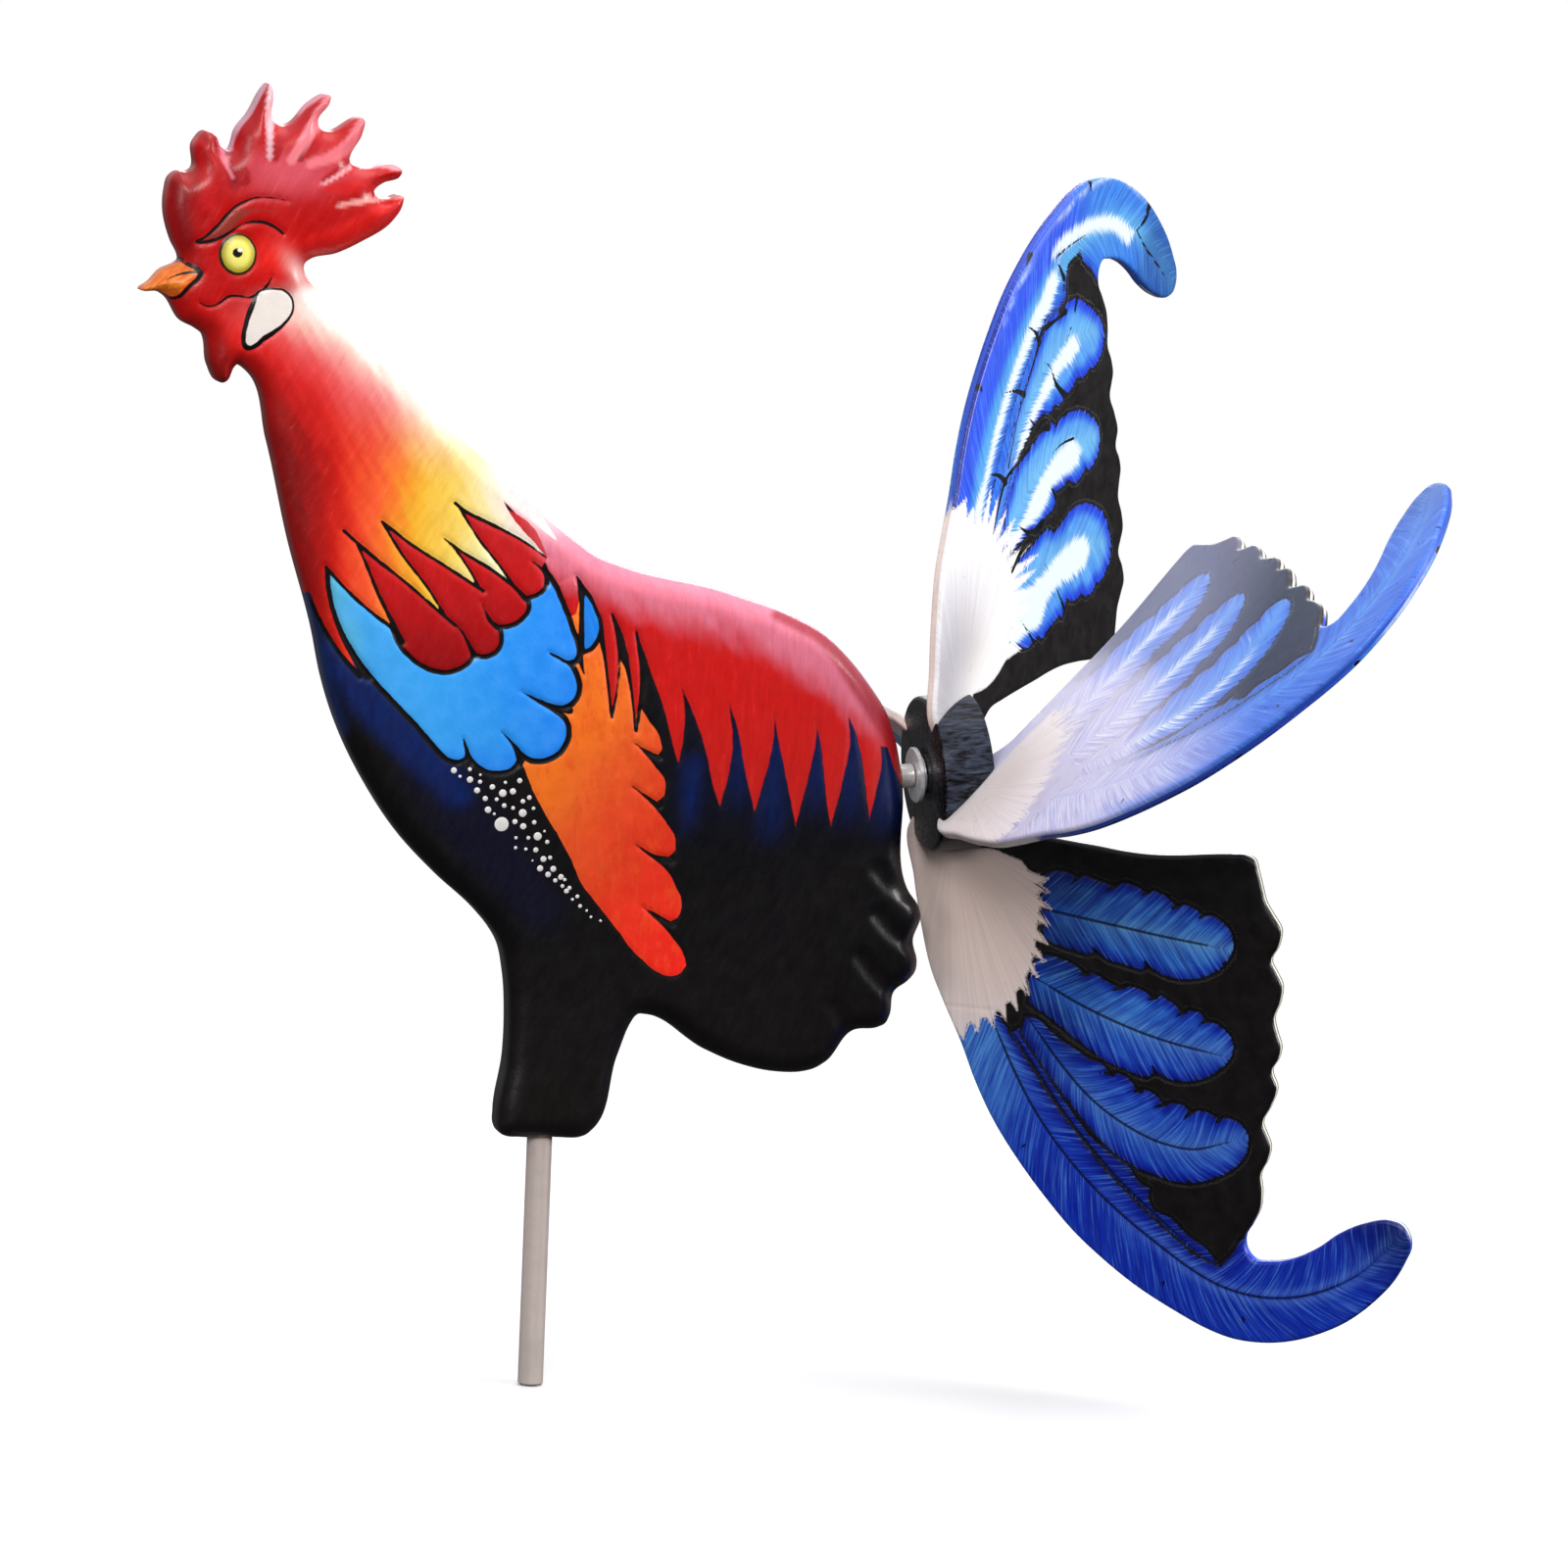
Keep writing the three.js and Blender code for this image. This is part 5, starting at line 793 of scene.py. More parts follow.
    # second blade's front: a painted glare haze, pale lavender, over the root side and along the leading side
    glare_haze = np.zeros(len(Q))
    if pale_paint_and_glare:
        far = np.hypot((Q[:, 0] - 60) / 1.25, Q[:, 1] + 2)
        glare_haze = pale_paint_and_glare * smooth01((92 - far + 9 * (n1 - 0.5)) / 40) * smooth01((n2 * 0.5 + 0.75))
        glare_haze = np.maximum(glare_haze, 0.03 * (edge < 0) * 1.0)
        glare_haze = np.maximum(glare_haze, 0.85 * np.exp(-(sd_poly(Q, cat([(98, 2), (130, 16), (160, 36), (184, 62), (197, 92), (199, 120), (192, 140), (190, 118), (186, 95), (172, 72), (150, 50), (122, 32), (98, 22)], 1.0, corner=80)).clip(-99, 0) / 5.0) ** 2) * smooth01((165 - Q[:, 0] * 0.62 - Q[:, 1] * 0.62) / 70))
        glare_haze *= smooth01((Q[:, 1] + 16 - 0.0 * Q[:, 0]) / 6 + 1)
    tick = np.full(len(Q), -FAR)
    for pl in plumes:
        if pl["kind"] != "plume" or rear or pale_paint_and_glare:
            continue
        ra = cat(pl["rachis"], 1.5, closed=False)
        V = np.array(pl["outline"], float)
        rng = np.random.RandomState(len(V))
        for j in range(1, len(V) - 1):
            a0, b0 = V[j] - V[j - 1], V[j + 1] - V[j]
            turn = math.degrees(math.atan2(a0[0] * b0[1] - a0[1] * b0[0], a0 @ b0))
            if turn < -24:
                dd, aa, _ = nearest_on(V[j:j + 1], ra)
                S = np.concatenate([[0], np.cumsum(np.hypot(*np.diff(ra, axis=0).T))])
                back = max(0.0, float(aa[0]) - 0.9 * float(dd[0]) - 2)
                t = np.array([np.interp(back, S, ra[:, 0]), np.interp(back, S, ra[:, 1])]) - V[j]
                t /= np.hypot(*t) + 1e-9
                L = 3.6 + 3.4 * rng.rand()
                tick = np.maximum(tick, sd_stroke(Q, *stroke([tuple(V[j] - t * 0.9), tuple(V[j] + t * L * 0.5 + 0.25 * np.array([t[1], -t[0]])), tuple(V[j] + t * L)], [2.2, 1.1, 0.15])))
    for t in ticks:
        tick = np.maximum(tick, sd_stroke(Q, *stroke(*t)))
    if rear:
        gap = np.full(len(Q), FAR)
    if not rear and not pale_paint_and_glare:
        # front face: away from the root the blues are darkened, partly deeper blue paint and partly painted shade
        deep_paint_and_shade = (smooth01((Q[:, 0] - 80) / 25) * smooth01((Q[:, 1] - 10) / 20))[:, None]
        col = col * (1 - deep_paint_and_shade * (1 - np.array([0.55, 0.52, 0.84])))
    if pale_paint_and_glare:
        gap = np.full(len(Q), FAR)
        r = r * 0.35
        rk = ramp(np.clip(near_root / 70, 0, 1) + 0.15 * (n1 - 0.5), [(0, (0.86, 0.82, 0.81)), (0.5, (0.92, 0.90, 0.91)), (1.1, (0.93, 0.92, 0.97))])
        white = white * 0.5
    inr = r > 0
    vec = np.where(inr[:, None], rays, barb)
    return dict(cF=col, cRoot=rk, sF=np.clip(edge, -FAR, FAR), sGap=gap, sQuill=np.clip(quill, -FAR, FAR), sRoot=np.clip(r, -FAR, FAR), sTick=tick, bx=vec[:, 0], by=vec[:, 1], bz=vec[:, 2], kBarb=np.full(len(Q), 0.45 if (rear or pale_paint_and_glare) else 1.0), sWhite=np.clip(white, -FAR, FAR), kGlareHaze=glare_haze)


def blade_set():
    rim = even(cat(BLADE, 0.5, corner=60), 0.75)
    lines = []
    for plumes, root, ticks in ((FRONT_PLUMES, FRONT_ROOT, TICKS_FRONT), (REAR_PLUMES, REAR_ROOT, TICKS_REAR)):
        L = [cat(p["outline"], 0.7, corner=38) for p in plumes] + [cat(root, 0.7, corner=20)]
        lines.append((L, [cat(p["rachis"], 1.5, closed=False) for p in plumes]))

    def weight(P):
        w = np.full(len(P), 9.0)
        for L, R in lines:
            for poly in L:
                w = np.minimum(w, np.abs(sd_poly(P, poly)))
            for ra in R:
                w = np.minimum(w, -sd_stroke(P, ra, [0.1, 0.1]))
        return np.where(w > 4.9, 9.0, w * 0.72)

    P, D, n = plate_points(rim, [0.12, 0.40, 0.80, 1.35], weight, 0.72, 2.0)
    F = plate_faces(P, n)
    q = np.clip(D / BLADE_EDGE, 0, 1)
    h = (BLADE_T / 2 - BLADE_EDGE) + BLADE_EDGE * np.sqrt(np.clip(1 - (1 - q) ** 2, 0, 1))
    ff = feather_fields(P, FRONT_PLUMES, FRONT_ROOT, TICKS_FRONT, 0)
    fb = feather_fields(P, REAR_PLUMES, REAR_ROOT, TICKS_REAR, 1, WHITE_REAR)
    # the second blade's front: paler plumes and a haze, partly paler paint and partly painted glare
    fs = feather_fields(P, FRONT_PLUMES, SIDE_ROOT, TICKS_FRONT, 0, WHITE_SIDE, 0.9)
    fs["cF"] = over(fs["cF"], lin([0.36, 0.58, 0.95]), 0.50 * (fs["sF"] > -1.0))
    hf = h - 0.16 * np.exp(-(ff["sGap"] / 0.8) ** 2) * np.clip(D, 0, 1) - 0.12 * np.exp(-(np.clip(-ff["sQuill"], 0, 9) / 0.5) ** 2)
    hb = h - 0.16 * np.exp(-(fb["sGap"] / 0.8) ** 2) * np.clip(D, 0, 1) - 0.12 * np.exp(-(np.clip(-fb["sQuill"], 0, 9) / 0.5) ** 2)
    # rim colour: leading edge blue (pale at the root), scalloped trailing edge cream
    R = P[:n]
    lead = smooth01((18 - (R[:, 1] - np.interp(R[:, 0], [0, 100, 130, 150, 168, 184, 197, 206], [-30, 0, 9.5, 24, 42, 62, 86, 112]))) / 6.0)
    hook = smooth01((R[:, 0] - 160) / 6)
    lead = np.maximum(lead, hook)
    wall = np.tile(lin([0.93, 0.92, 0.86]), (n, 1))
    wall = over(wall, lin([0.16, 0.32, 0.80]), lead * smooth01((R[:, 0] - 96) / 10))
    wall = over(wall, lin([0.93, 0.87, 0.84]), lead * (1 - smooth01((R[:, 0] - 96) / 10)))
    zero = np.zeros(len(P))
    cw = np.zeros((len(P), 3)); cw[:n] = wall
    ff["cWall"], fb["cWall"], fs["cWall"] = cw, cw, cw
    return P, F, n, hf, hb, ff, fb, fs


# ------------------------------------------------------------------ materials
class Mat:
    def __init__(self, name, roughness=0.35, metallic=0.0, coat=0.0, coat_rough=0.1, ior=1.5, spec=0.5):
        self.m = bpy.data.materials.new(name)
        self.m.use_nodes = True
        self.t = self.m.node_tree
        self.t.nodes.clear()
        self.out = self.t.nodes.new("ShaderNodeOutputMaterial")
        self.p = self.t.nodes.new("ShaderNodeBsdfPrincipled")
        self.p.inputs["Roughness"].default_value = roughness
        self.p.inputs["Metallic"].default_value = metallic
        self.p.inputs["Coat Weight"].default_value = coat
        self.p.inputs["Coat Roughness"].default_value = coat_rough
        self.p.inputs["IOR"].default_value = ior
        self.p.inputs["Specular IOR Level"].default_value = spec
        self.t.links.new(self.p.outputs[0], self.out.inputs[0])

    def node(self, kind, **kw):
        n = self.t.nodes.new(kind)
        for k, v in kw.items():
            setattr(n, k, v)
        return n

    def put(self, sock, v):
        if isinstance(v, bpy.types.NodeSocket):
            self.t.links.new(v, sock)
        elif isinstance(v, (tuple, list, np.ndarray)) and len(v) == 3 and sock.type == "RGBA":
            sock.default_value = (float(v[0]), float(v[1]), float(v[2]), 1.0)
        else:
            sock.default_value = v

    def attr(self, name):
        return self.node("ShaderNodeAttribute", attribute_type="GEOMETRY", attribute_name=name)

    def val(self, name):
        return self.attr(name).outputs["Fac"]

    def col(self, name):
        return self.attr(name).outputs["Color"]

    def math(self, op, a, b=0.0, clamp=False):
        n = self.node("ShaderNodeMath", operation=op, use_clamp=clamp)
        self.put(n.inputs[0], a)
        self.put(n.inputs[1], b)
        return n.outputs[0]

    def mix(self, f, a, b, mode="MIX"):
        n = self.node("ShaderNodeMix", data_type="RGBA", blend_type=mode)
        self.put(n.inputs[0], f)
        self.put(n.inputs[6], a)
        self.put(n.inputs[7], b)
        return n.outputs[2]

    def span(self, v, a, b, c=0.0, d=1.0, smooth=False):
        n = self.node("ShaderNodeMapRange", interpolation_type="SMOOTHSTEP" if smooth else "LINEAR")
        for k, x in enumerate((v, a, b, c, d)):
            self.put(n.inputs[k], x)
        return n.outputs[0]

    def coords(self, rot=(0, 0, 0), scale=(1, 1, 1)):
        tc = self.node("ShaderNodeTexCoord")
        mp = self.node("ShaderNodeMapping")
        mp.inputs["Rotation"].default_value = rot
        mp.inputs["Scale"].default_value = scale
        first = self.node("ShaderNodeMapping")          # turned first, stretched after
        first.inputs["Rotation"].default_value = rot
        mp.inputs["Rotation"].default_value = (0, 0, 0)
        self.t.links.new(tc.outputs["Object"], first.inputs[0])
        self.t.links.new(first.outputs[0], mp.inputs[0])
        return mp.outputs[0]

    def noise(self, vec, scale, detail=3.0, rough=0.55, distort=0.0):
        n = self.node("ShaderNodeTexNoise")
        self.t.links.new(vec, n.inputs["Vector"])
        n.inputs["Scale"].default_value = scale
        n.inputs["Detail"].default_value = detail
        n.inputs["Roughness"].default_value = rough
        n.inputs["Distortion"].default_value = distort
        return n.outputs["Fac"]

    def bump(self, h, strength=0.4, distance=0.0003):
        n = self.node("ShaderNodeBump")
        n.inputs["Strength"].default_value = strength
        n.inputs["Distance"].default_value = distance
        self.t.links.new(h, n.inputs["Height"])
        self.t.links.new(n.outputs[0], self.p.inputs["Normal"])
        if self.p.inputs["Coat Weight"].default_value > 0:
            self.t.links.new(n.outputs[0], self.p.inputs["Coat Normal"])


INKC = tuple(lin([0.045, 0.025, 0.035]))


def rooster_material():
    g = Mat("painted_board_gloss", roughness=0.36, coat=0.12, coat_rough=0.14, spec=0.36)
    o = g.coords()
    wob = g.math("MULTIPLY", g.math("SUBTRACT", g.noise(o, 240, 2.0), 0.5), 0.75)
    hairs = g.coords(rot=(0, math.radians(-30), 0), scale=(1.0, 0.6, 0.20))
    streak = g.noise(hairs, 520, 4.0, 0.62, 0.35)
    tall = g.noise(g.coords(scale=(1.0, 0.6, 0.20)), 460, 4.0, 0.62, 0.3)
    blot = g.noise(o, 150, 4.0, 0.62)
    fine = g.noise(o, 900, 2.0, 0.6)

    def edge(name, off=0.0, w=0.17):
        v = g.math("ADD", g.math("ADD", g.val(name), wob), off)
        return g.span(v, -w, w, smooth=True)

    def shade(c, n, lo, hi):
        return g.mix(1.0, c, g.node_grey(g.span(n, 0.28, 0.72, lo, hi)), "MULTIPLY")

    def grey(v):
        n = g.node("ShaderNodeCombineColor")
        for k in range(3):
            g.put(n.inputs[k], v)
        return n.outputs[0]
    g.node_grey = grey

    base = shade(g.col("cBase"), tall, 0.75, 1.25)
    wing = shade(g.col("cWing"), blot, 0.90, 1.07)
    wing = g.mix(g.span(g.noise(g.coords(scale=(1, 1, 0.4)), 300, 4.0, 0.7), 0.50, 0.75, 0.0, 0.22), wing, tuple(lin([1.0, 0.56, 0.20])))
    wing = g.mix(g.span(g.noise(g.coords(scale=(1, 1, 0.5)), 210, 4.0, 0.7), 0.50, 0.72, 0.0, 0.45), wing, tuple(lin([0.90, 0.17, 0.09])))
    sad = shade(g.col("cSaddle"), tall, 0.86, 1.10)
    sad = g.mix(g.span(tall, 0.60, 0.85, 0.0, 0.14), sad, tuple(lin([0.94, 0.45, 0.42])))
    blue = shade(g.col("cBlue"), blot, 0.93, 1.05)
    blue = g.mix(g.span(blot, 0.45, 0.75, 0.0, 0.28), blue, tuple(lin([0.36, 0.68, 0.99])))
    neck = shade(g.col("cNeck"), streak, 0.90, 1.08)
    neck = g.mix(g.span(streak, 0.62, 0.88, 0.0, 0.06), neck, tuple(lin([1.0, 0.86, 0.72])))
    hack = shade(g.col("cHackle"), tall, 0.86, 1.12)

    c = g.mix(edge("sWing"), base, wing)
    c = g.mix(edge("sSaddle", w=0.30), c, sad)
    c = g.mix(edge("sBlue2", 1.0), c, INKC)
    c = g.mix(edge("sBlue2"), c, tuple(lin([0.12, 0.52, 0.93])))
    c = g.mix(edge("sBlue", 2.15), c, INKC)
    c = g.mix(edge("sBlue"), c, blue)
    c = g.mix(edge("sHackleOut"), c, INKC)
    c = g.mix(edge("sHackle"), c, hack)
    c = g.mix(edge("sNeck"), c, neck)
    c = g.mix(g.math("MULTIPLY", edge("sBrow", w=0.9), 0.72), c, tuple(lin([0.50, 0.22, 0.17])))
    beak = g.mix(g.span(g.noise(g.coords(rot=(0, 0.6, 0), scale=(0.3, 1, 1)), 700, 3.0), 0.35, 0.7), tuple(lin([0.86, 0.38, 0.10])), tuple(lin([0.96, 0.56, 0.16])))
    c = g.mix(edge("sBeak"), c, beak)
    c = g.mix(edge("sLobeEdge", w=0.14), c, INKC)
    c = g.mix(edge("sLobe", w=0.22), c, g.mix(blot, tuple(lin([0.97, 0.93, 0.90])), tuple(lin([0.90, 0.86, 0.84]))))
    c = g.mix(edge("sEyeRim", w=0.14), c, tuple(lin([0.16, 0.13, 0.06])))
    eye = g.mix(g.span(g.val("sEye"), 0.2, 2.6, smooth=True), tuple(lin([0.72, 0.66, 0.18])), tuple(lin([0.96, 0.93, 0.46])))
    c = g.mix(edge("sEye", w=0.2), c, eye)
    c = g.mix(edge("sPupil", w=0.22), c, tuple(lin([0.07, 0.05, 0.03])))
    c = g.mix(edge("sGlint", w=0.3), c, tuple(lin([0.98, 0.98, 0.95])))
    c = g.mix(edge("sInk", w=0.16), c, INKC)
    g.put(g.p.inputs["Base Color"], c)
    g.put(g.p.inputs["Roughness"], g.span(g.math("ADD", g.math("MULTIPLY", blot, 0.5), g.math("MULTIPLY", streak, 0.5)), 0.3, 0.7, 0.27, 0.44))
    h = g.math("ADD", g.math("MULTIPLY", streak, 0.22), g.math("ADD", g.math("MULTIPLY", blot, 0.6), g.math("MULTIPLY", fine, 0.2)))
    g.bump(h, 0.5, 0.00040)
    return g.m


def blade_material():
    g = Mat("painted_blade_gloss", roughness=0.36, coat=0.10, coat_rough=0.18, spec=0.38)
    o = g.coords()
    wob = g.math("MULTIPLY", g.math("SUBTRACT", g.noise(o, 330, 2.0), 0.5), 0.9)
    cv = g.node("ShaderNodeCombineXYZ")
    g.put(cv.inputs[0], g.val("bx")); g.put(cv.inputs[1], g.math("MULTIPLY", g.val("by"), 0.06)); g.put(cv.inputs[2], g.val("bz"))
    barb = g.noise(cv.outputs[0], 0.95, 3.0, 0.62)
    barb2 = g.noise(cv.outputs[0], 0.34, 2.0, 0.5)
    blot = g.noise(o, 160, 4.0, 0.6)

    def edge(v, off=0.0, w=0.17):
        return g.span(g.math("ADD", g.math("ADD", v, wob), off), -w, w, smooth=True)

    inside_feather = edge(g.math("SUBTRACT", g.val("sF"), g.math("MULTIPLY", g.span(barb, 0.38, 0.66), 1.6)), 0.1)
    c = g.mix(blot, tuple(lin([0.045, 0.035, 0.045])), tuple(lin([0.085, 0.07, 0.075])))
    f = g.col("cF")
    f = g.mix(g.math("MULTIPLY", g.span(barb, 0.44, 0.66, 0.0, 0.8), g.val("kBarb")), f, g.mix(1.0, f, tuple(lin([0.30, 0.42, 0.80])), "MULTIPLY"))
    f = g.mix(g.span(barb, 0.47, 0.30, 0.0, 0.55), f, g.mix(0.55, f, tuple(lin([0.50, 0.78, 0.98]))))
    f = g.mix(g.math("MULTIPLY", g.span(barb2, 0.48, 0.70, 0.0, 0.6), g.val("kBarb")), f, tuple(lin([0.04, 0.10, 0.55])))
    f = g.mix(g.span(g.math("ADD", g.val("sWhite"), g.math("MULTIPLY", g.math("SUBTRACT", 0.5, barb), 9.0)), -1.5, 1.9, 0.0, 0.96, smooth=True), f, tuple(lin([0.93, 0.98, 1.0])))
    c = g.mix(inside_feather, c, f)
    # painted glare haze, pale lavender, on the second blade's front
    c = g.mix(g.val("kGlareHaze"), c, g.mix(g.span(barb, 0.4, 0.65), tuple(lin([0.88, 0.87, 0.95])), tuple(lin([0.70, 0.70, 0.88]))))
    # seams between feathers that overlap, and quills
    gapn = g.span(g.math("ADD", g.val("sGap"), g.math("MULTIPLY", wob, 0.6)), 0.22, 0.62, 1.0, 0.0, smooth=True)
    c = g.mix(gapn, c, tuple(lin([0.02, 0.025, 0.07])))
    c = g.mix(g.math("MULTIPLY", g.span(g.val("sQuill"), -0.28, 0.16, smooth=True), 0.86), c, tuple(lin([0.02, 0.03, 0.12])))
    root = g.mix(g.span(barb, 0.42, 0.70, 0.0, 0.30), g.col("cRoot"), tuple(lin([0.70, 0.66, 0.68])))
    rmask = g.span(g.math("ADD", g.val("sRoot"), g.math("MULTIPLY", g.math("SUBTRACT", 0.52, barb), 7.0)), -0.28, 0.28, smooth=True)
    c = g.mix(rmask, c, root)
    c = g.mix(g.span(g.val("sTick"), -0.15, 0.15, smooth=True), c, tuple(lin([0.02, 0.02, 0.06])))
    wall = g.mix(g.span(blot, 0.35, 0.7, 0.0, 0.4), g.col("cWall"), g.mix(0.5, g.col("cWall"), tuple(lin([0.30, 0.32, 0.42]))))
    c = g.mix(g.span(g.val("sWall"), 0.25, 0.75), c, wall)
    g.put(g.p.inputs["Base Color"], c)
    g.put(g.p.inputs["Roughness"], g.span(blot, 0.3, 0.7, 0.26, 0.42))
    h = g.math("ADD", g.math("MULTIPLY", barb, 0.8), g.math("MULTIPLY", blot, 0.5))
    g.bump(h, 0.45, 0.00025)
    return g.m


def metal_material(name, base, dark, rough, scale, stretch=(1, 1, 1), metallic=1.0, wear=0.35, bump=0.25):
    g = Mat(name, roughness=rough, metallic=metallic)
    o = g.coords(scale=stretch)
    n = g.noise(o, scale, 4.0, 0.6)
    m = g.noise(g.coords(), 90, 3.0, 0.6)
    c = g.mix(g.span(n, 0.35, 0.72, 0.0, wear), tuple(lin(base)), tuple(lin(dark)))
    c = g.mix(g.span(m, 0.52, 0.78, 0.0, wear), c, tuple(lin(dark)))
    g.put(g.p.inputs["Base Color"], c)
    g.put(g.p.inputs["Roughness"], g.span(m, 0.3, 0.7, rough * 0.75, min(1.0, rough * 1.45)))
    g.bump(n, bump, 0.00006)
    return g.m


def hub_material():
    g = Mat("hub_black_gloss", roughness=0.40, coat=0.0, coat_rough=0.2, spec=0.14)
    # brush marks with a painted grey-blue sheen, running round the axle along the rim
    o = g.coords(rot=(0, TILT, 0), scale=(0.22, 1.0, 1.0))
    brush_marks_and_sheen = g.noise(o, 620, 5.0, 0.7, 0.4)
    side = g.noise(g.coords(scale=(0.5, 1, 1)), 260, 4.0, 0.65)
    # the rim carries the grey-blue brush marks, partly a painted reflection, the front face stays black
    along = g.node("ShaderNodeVectorMath", operation="DOT_PRODUCT")
    g.put(along.inputs[0], g.coords())
    along.inputs[1].default_value = (0.995676, 0.0, 0.092892)
    rim = g.span(along.outputs["Value"], 0.180352 - 0.01630, 0.180352 - 0.01560)
    brush_marks_and_sheen = g.math("ADD", brush_marks_and_sheen, g.math("MULTIPLY", g.math("SUBTRACT", rim, 0.55), 0.12))
    c = g.mix(g.span(brush_marks_and_sheen, 0.46, 0.74, 0.0, 0.90), tuple(lin([0.05, 0.045, 0.05])), tuple(lin([0.30, 0.33, 0.41])))
    c = g.mix(g.span(side, 0.68, 0.84, 0.0, 0.25), c, tuple(lin([0.30, 0.30, 0.32])))
    g.put(g.p.inputs["Base Color"], c)
    g.put(g.p.inputs["Roughness"], g.span(brush_marks_and_sheen, 0.35, 0.7, 0.22, 0.42))
    g.bump(g.math("ADD", brush_marks_and_sheen, side), 0.5, 0.0003)
    return g.m


def dot_material():
    g = Mat("white_dots", roughness=0.32, coat=0.2)
    n = g.noise(g.coords(), 700, 2.0)
    g.put(g.p.inputs["Base Color"], g.mix(n, tuple(lin([0.99, 0.98, 0.97])), tuple(lin([0.86, 0.85, 0.84]))))
    g.bump(n, 0.3, 0.0001)
    return g.m


# ------------------------------------------------------------------ turned parts
AX = Vector((0.995676, 0.0, 0.092892)).normalized()


def lathe(name, profile, origin, axis, segments=96, hexagon=None, sharp=35):
    """turned solid. profile is (radius, position along the axis) in millimetres; radius 0 makes a pole"""
    a = Vector(axis).normalized()
    u = a.orthogonal().normalized()
    v = a.cross(u)
    bm = bmesh.new()
    rings = []
    for k, (r, s) in enumerate(profile):
        c = Vector(origin) + a * (s * MM)
        if r <= 1e-6:
            rings.append([bm.verts.new(c)])
            continue
        ring = []
        for i in range(segments):
            t = 2 * math.pi * i / segments
            rr = r
            if hexagon and k in hexagon:
                w = (t % (math.pi / 3)) - math.pi / 6
                rr = r * math.cos(math.pi / 6) / math.cos(w)
            ring.append(bm.verts.new(c + (u * math.cos(t) + v * math.sin(t)) * (rr * MM)))
        rings.append(ring)
    closed = len(rings[0]) > 1 and len(rings[-1]) > 1
    pairs = list(zip(rings[:-1], rings[1:])) + ([(rings[-1], rings[0])] if closed else [])
    for p, q in pairs:
        for i in range(segments):
            j = (i + 1) % segments
            if len(p) == 1 and len(q) == 1:
                continue
            if len(p) == 1:
                bm.faces.new((p[0], q[j], q[i]))
            elif len(q) == 1:
                bm.faces.new((p[i], p[j], q[0]))
            else:
                bm.faces.new((p[i], p[j], q[j], q[i]))
    bmesh.ops.recalc_face_normals(bm, faces=bm.faces)
    me = bpy.data.meshes.new(name)
    bm.to_mesh(me)
    bm.free()
    me.shade_smooth()
    me.set_sharp_from_angle(angle=math.radians(sharp))
    ob = bpy.data.objects.new(name, me)
    bpy.context.scene.collection.objects.link(ob)
    return ob


def washer(name, rin, rout, s0, s1, ch=0.25):
    return lathe(name, [(rin, s0 + ch), (rin + ch, s0), (rout - ch, s0), (rout, s0 + ch), (rout, s1 - ch), (rout - ch, s1), (rin + ch, s1), (rin, s1 - ch)], HUB, AX)


def cut(ob, tool):
    """takes tool out of ob; new points take the paint of the nearest old one"""
    old = np.zeros(len(ob.data.vertices) * 3)
    ob.data.vertices.foreach_get("co", old)
    old = old.reshape(-1, 3)
    keep = {}
    for at in ob.data.attributes:
        if at.domain == "POINT" and at.name not in ("position",) and at.data_type in ("FLOAT", "FLOAT_COLOR"):
            w = 1 if at.data_type == "FLOAT" else 4
            v = np.zeros(len(at.data) * w, np.float32)
            at.data.foreach_get("value" if w == 1 else "color", v)
            keep[at.name] = (at.data_type, v.reshape(-1, w))
    mod = ob.modifiers.new("cut", "BOOLEAN")
    mod.object = tool
    mod.operation = "DIFFERENCE"
    mod.solver = "EXACT"
    dg = bpy.context.evaluated_depsgraph_get()
    me = bpy.data.meshes.new_from_object(ob.evaluated_get(dg))
    ob.modifiers.clear()
    if keep:
        tree = kdtree.KDTree(len(old))
        for i, p in enumerate(old):
            tree.insert(p, i)
        tree.balance()
        idx = np.array([tree.find(v.co)[1] for v in me.vertices])
        for name, (kind, v) in keep.items():
            at = me.attributes.get(name)
            if at is None or at.data_type != kind or at.domain != "POINT":
                if at is not None:
                    me.attributes.remove(at)
                at = me.attributes.new(name, kind, "POINT")
            at.data.foreach_set("value" if kind == "FLOAT" else "color", v[idx].ravel())
    ob.data = me
    bpy.data.objects.remove(tool)
    return ob


def material(ob, m):
    ob.data.materials.clear()
    ob.data.materials.append(m)
    return ob


# ------------------------------------------------------------------ the object
M_BOARD, M_BLADE, M_HUB, M_DOT = rooster_material(), blade_material(), hub_material(), dot_material()
M_ROD = metal_material("steel_rod", (0.84, 0.79, 0.77), (0.66, 0.58, 0.56), 0.45, 260, (1, 1, 0.03), metallic=0.25)
M_ZINC = metal_material("zinc_washer", (0.92, 0.92, 0.93), (0.66, 0.66, 0.70), 0.30, 800, metallic=0.5)
M_STEEL = metal_material("axle_steel", (0.84, 0.83, 0.82), (0.50, 0.48, 0.47), 0.30, 700, metallic=0.5)
M_SLEEVE = metal_material("sleeve_steel", (0.40, 0.39, 0.40), (0.20, 0.19, 0.19), 0.35, 500)
M_BRASS = metal_material("brass_bushing", (0.86, 0.69, 0.36), (0.55, 0.42, 0.20), 0.28, 600)

body, BH, BP, BD = rooster()
MM0 = Vector((0, 0, 0))
bore = lathe("tool_bore", [(0, 188.3), (6.8, 188.3), (6.8, 60), (0, 60)], (0, 0, 0), (0, 0, 1), 64)
cut(body, bore)
spot = lathe("tool_spot", [(0, -62.3), (2.7, -62.3), (2.7, -26.3), (10.0, -26.3), (10.0, 12), (0, 12)], HUB, AX, 64)
cut(body, spot)
body.data.shade_smooth()
material(body, M_BOARD)
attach(body, "rooster"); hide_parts("rooster_body")

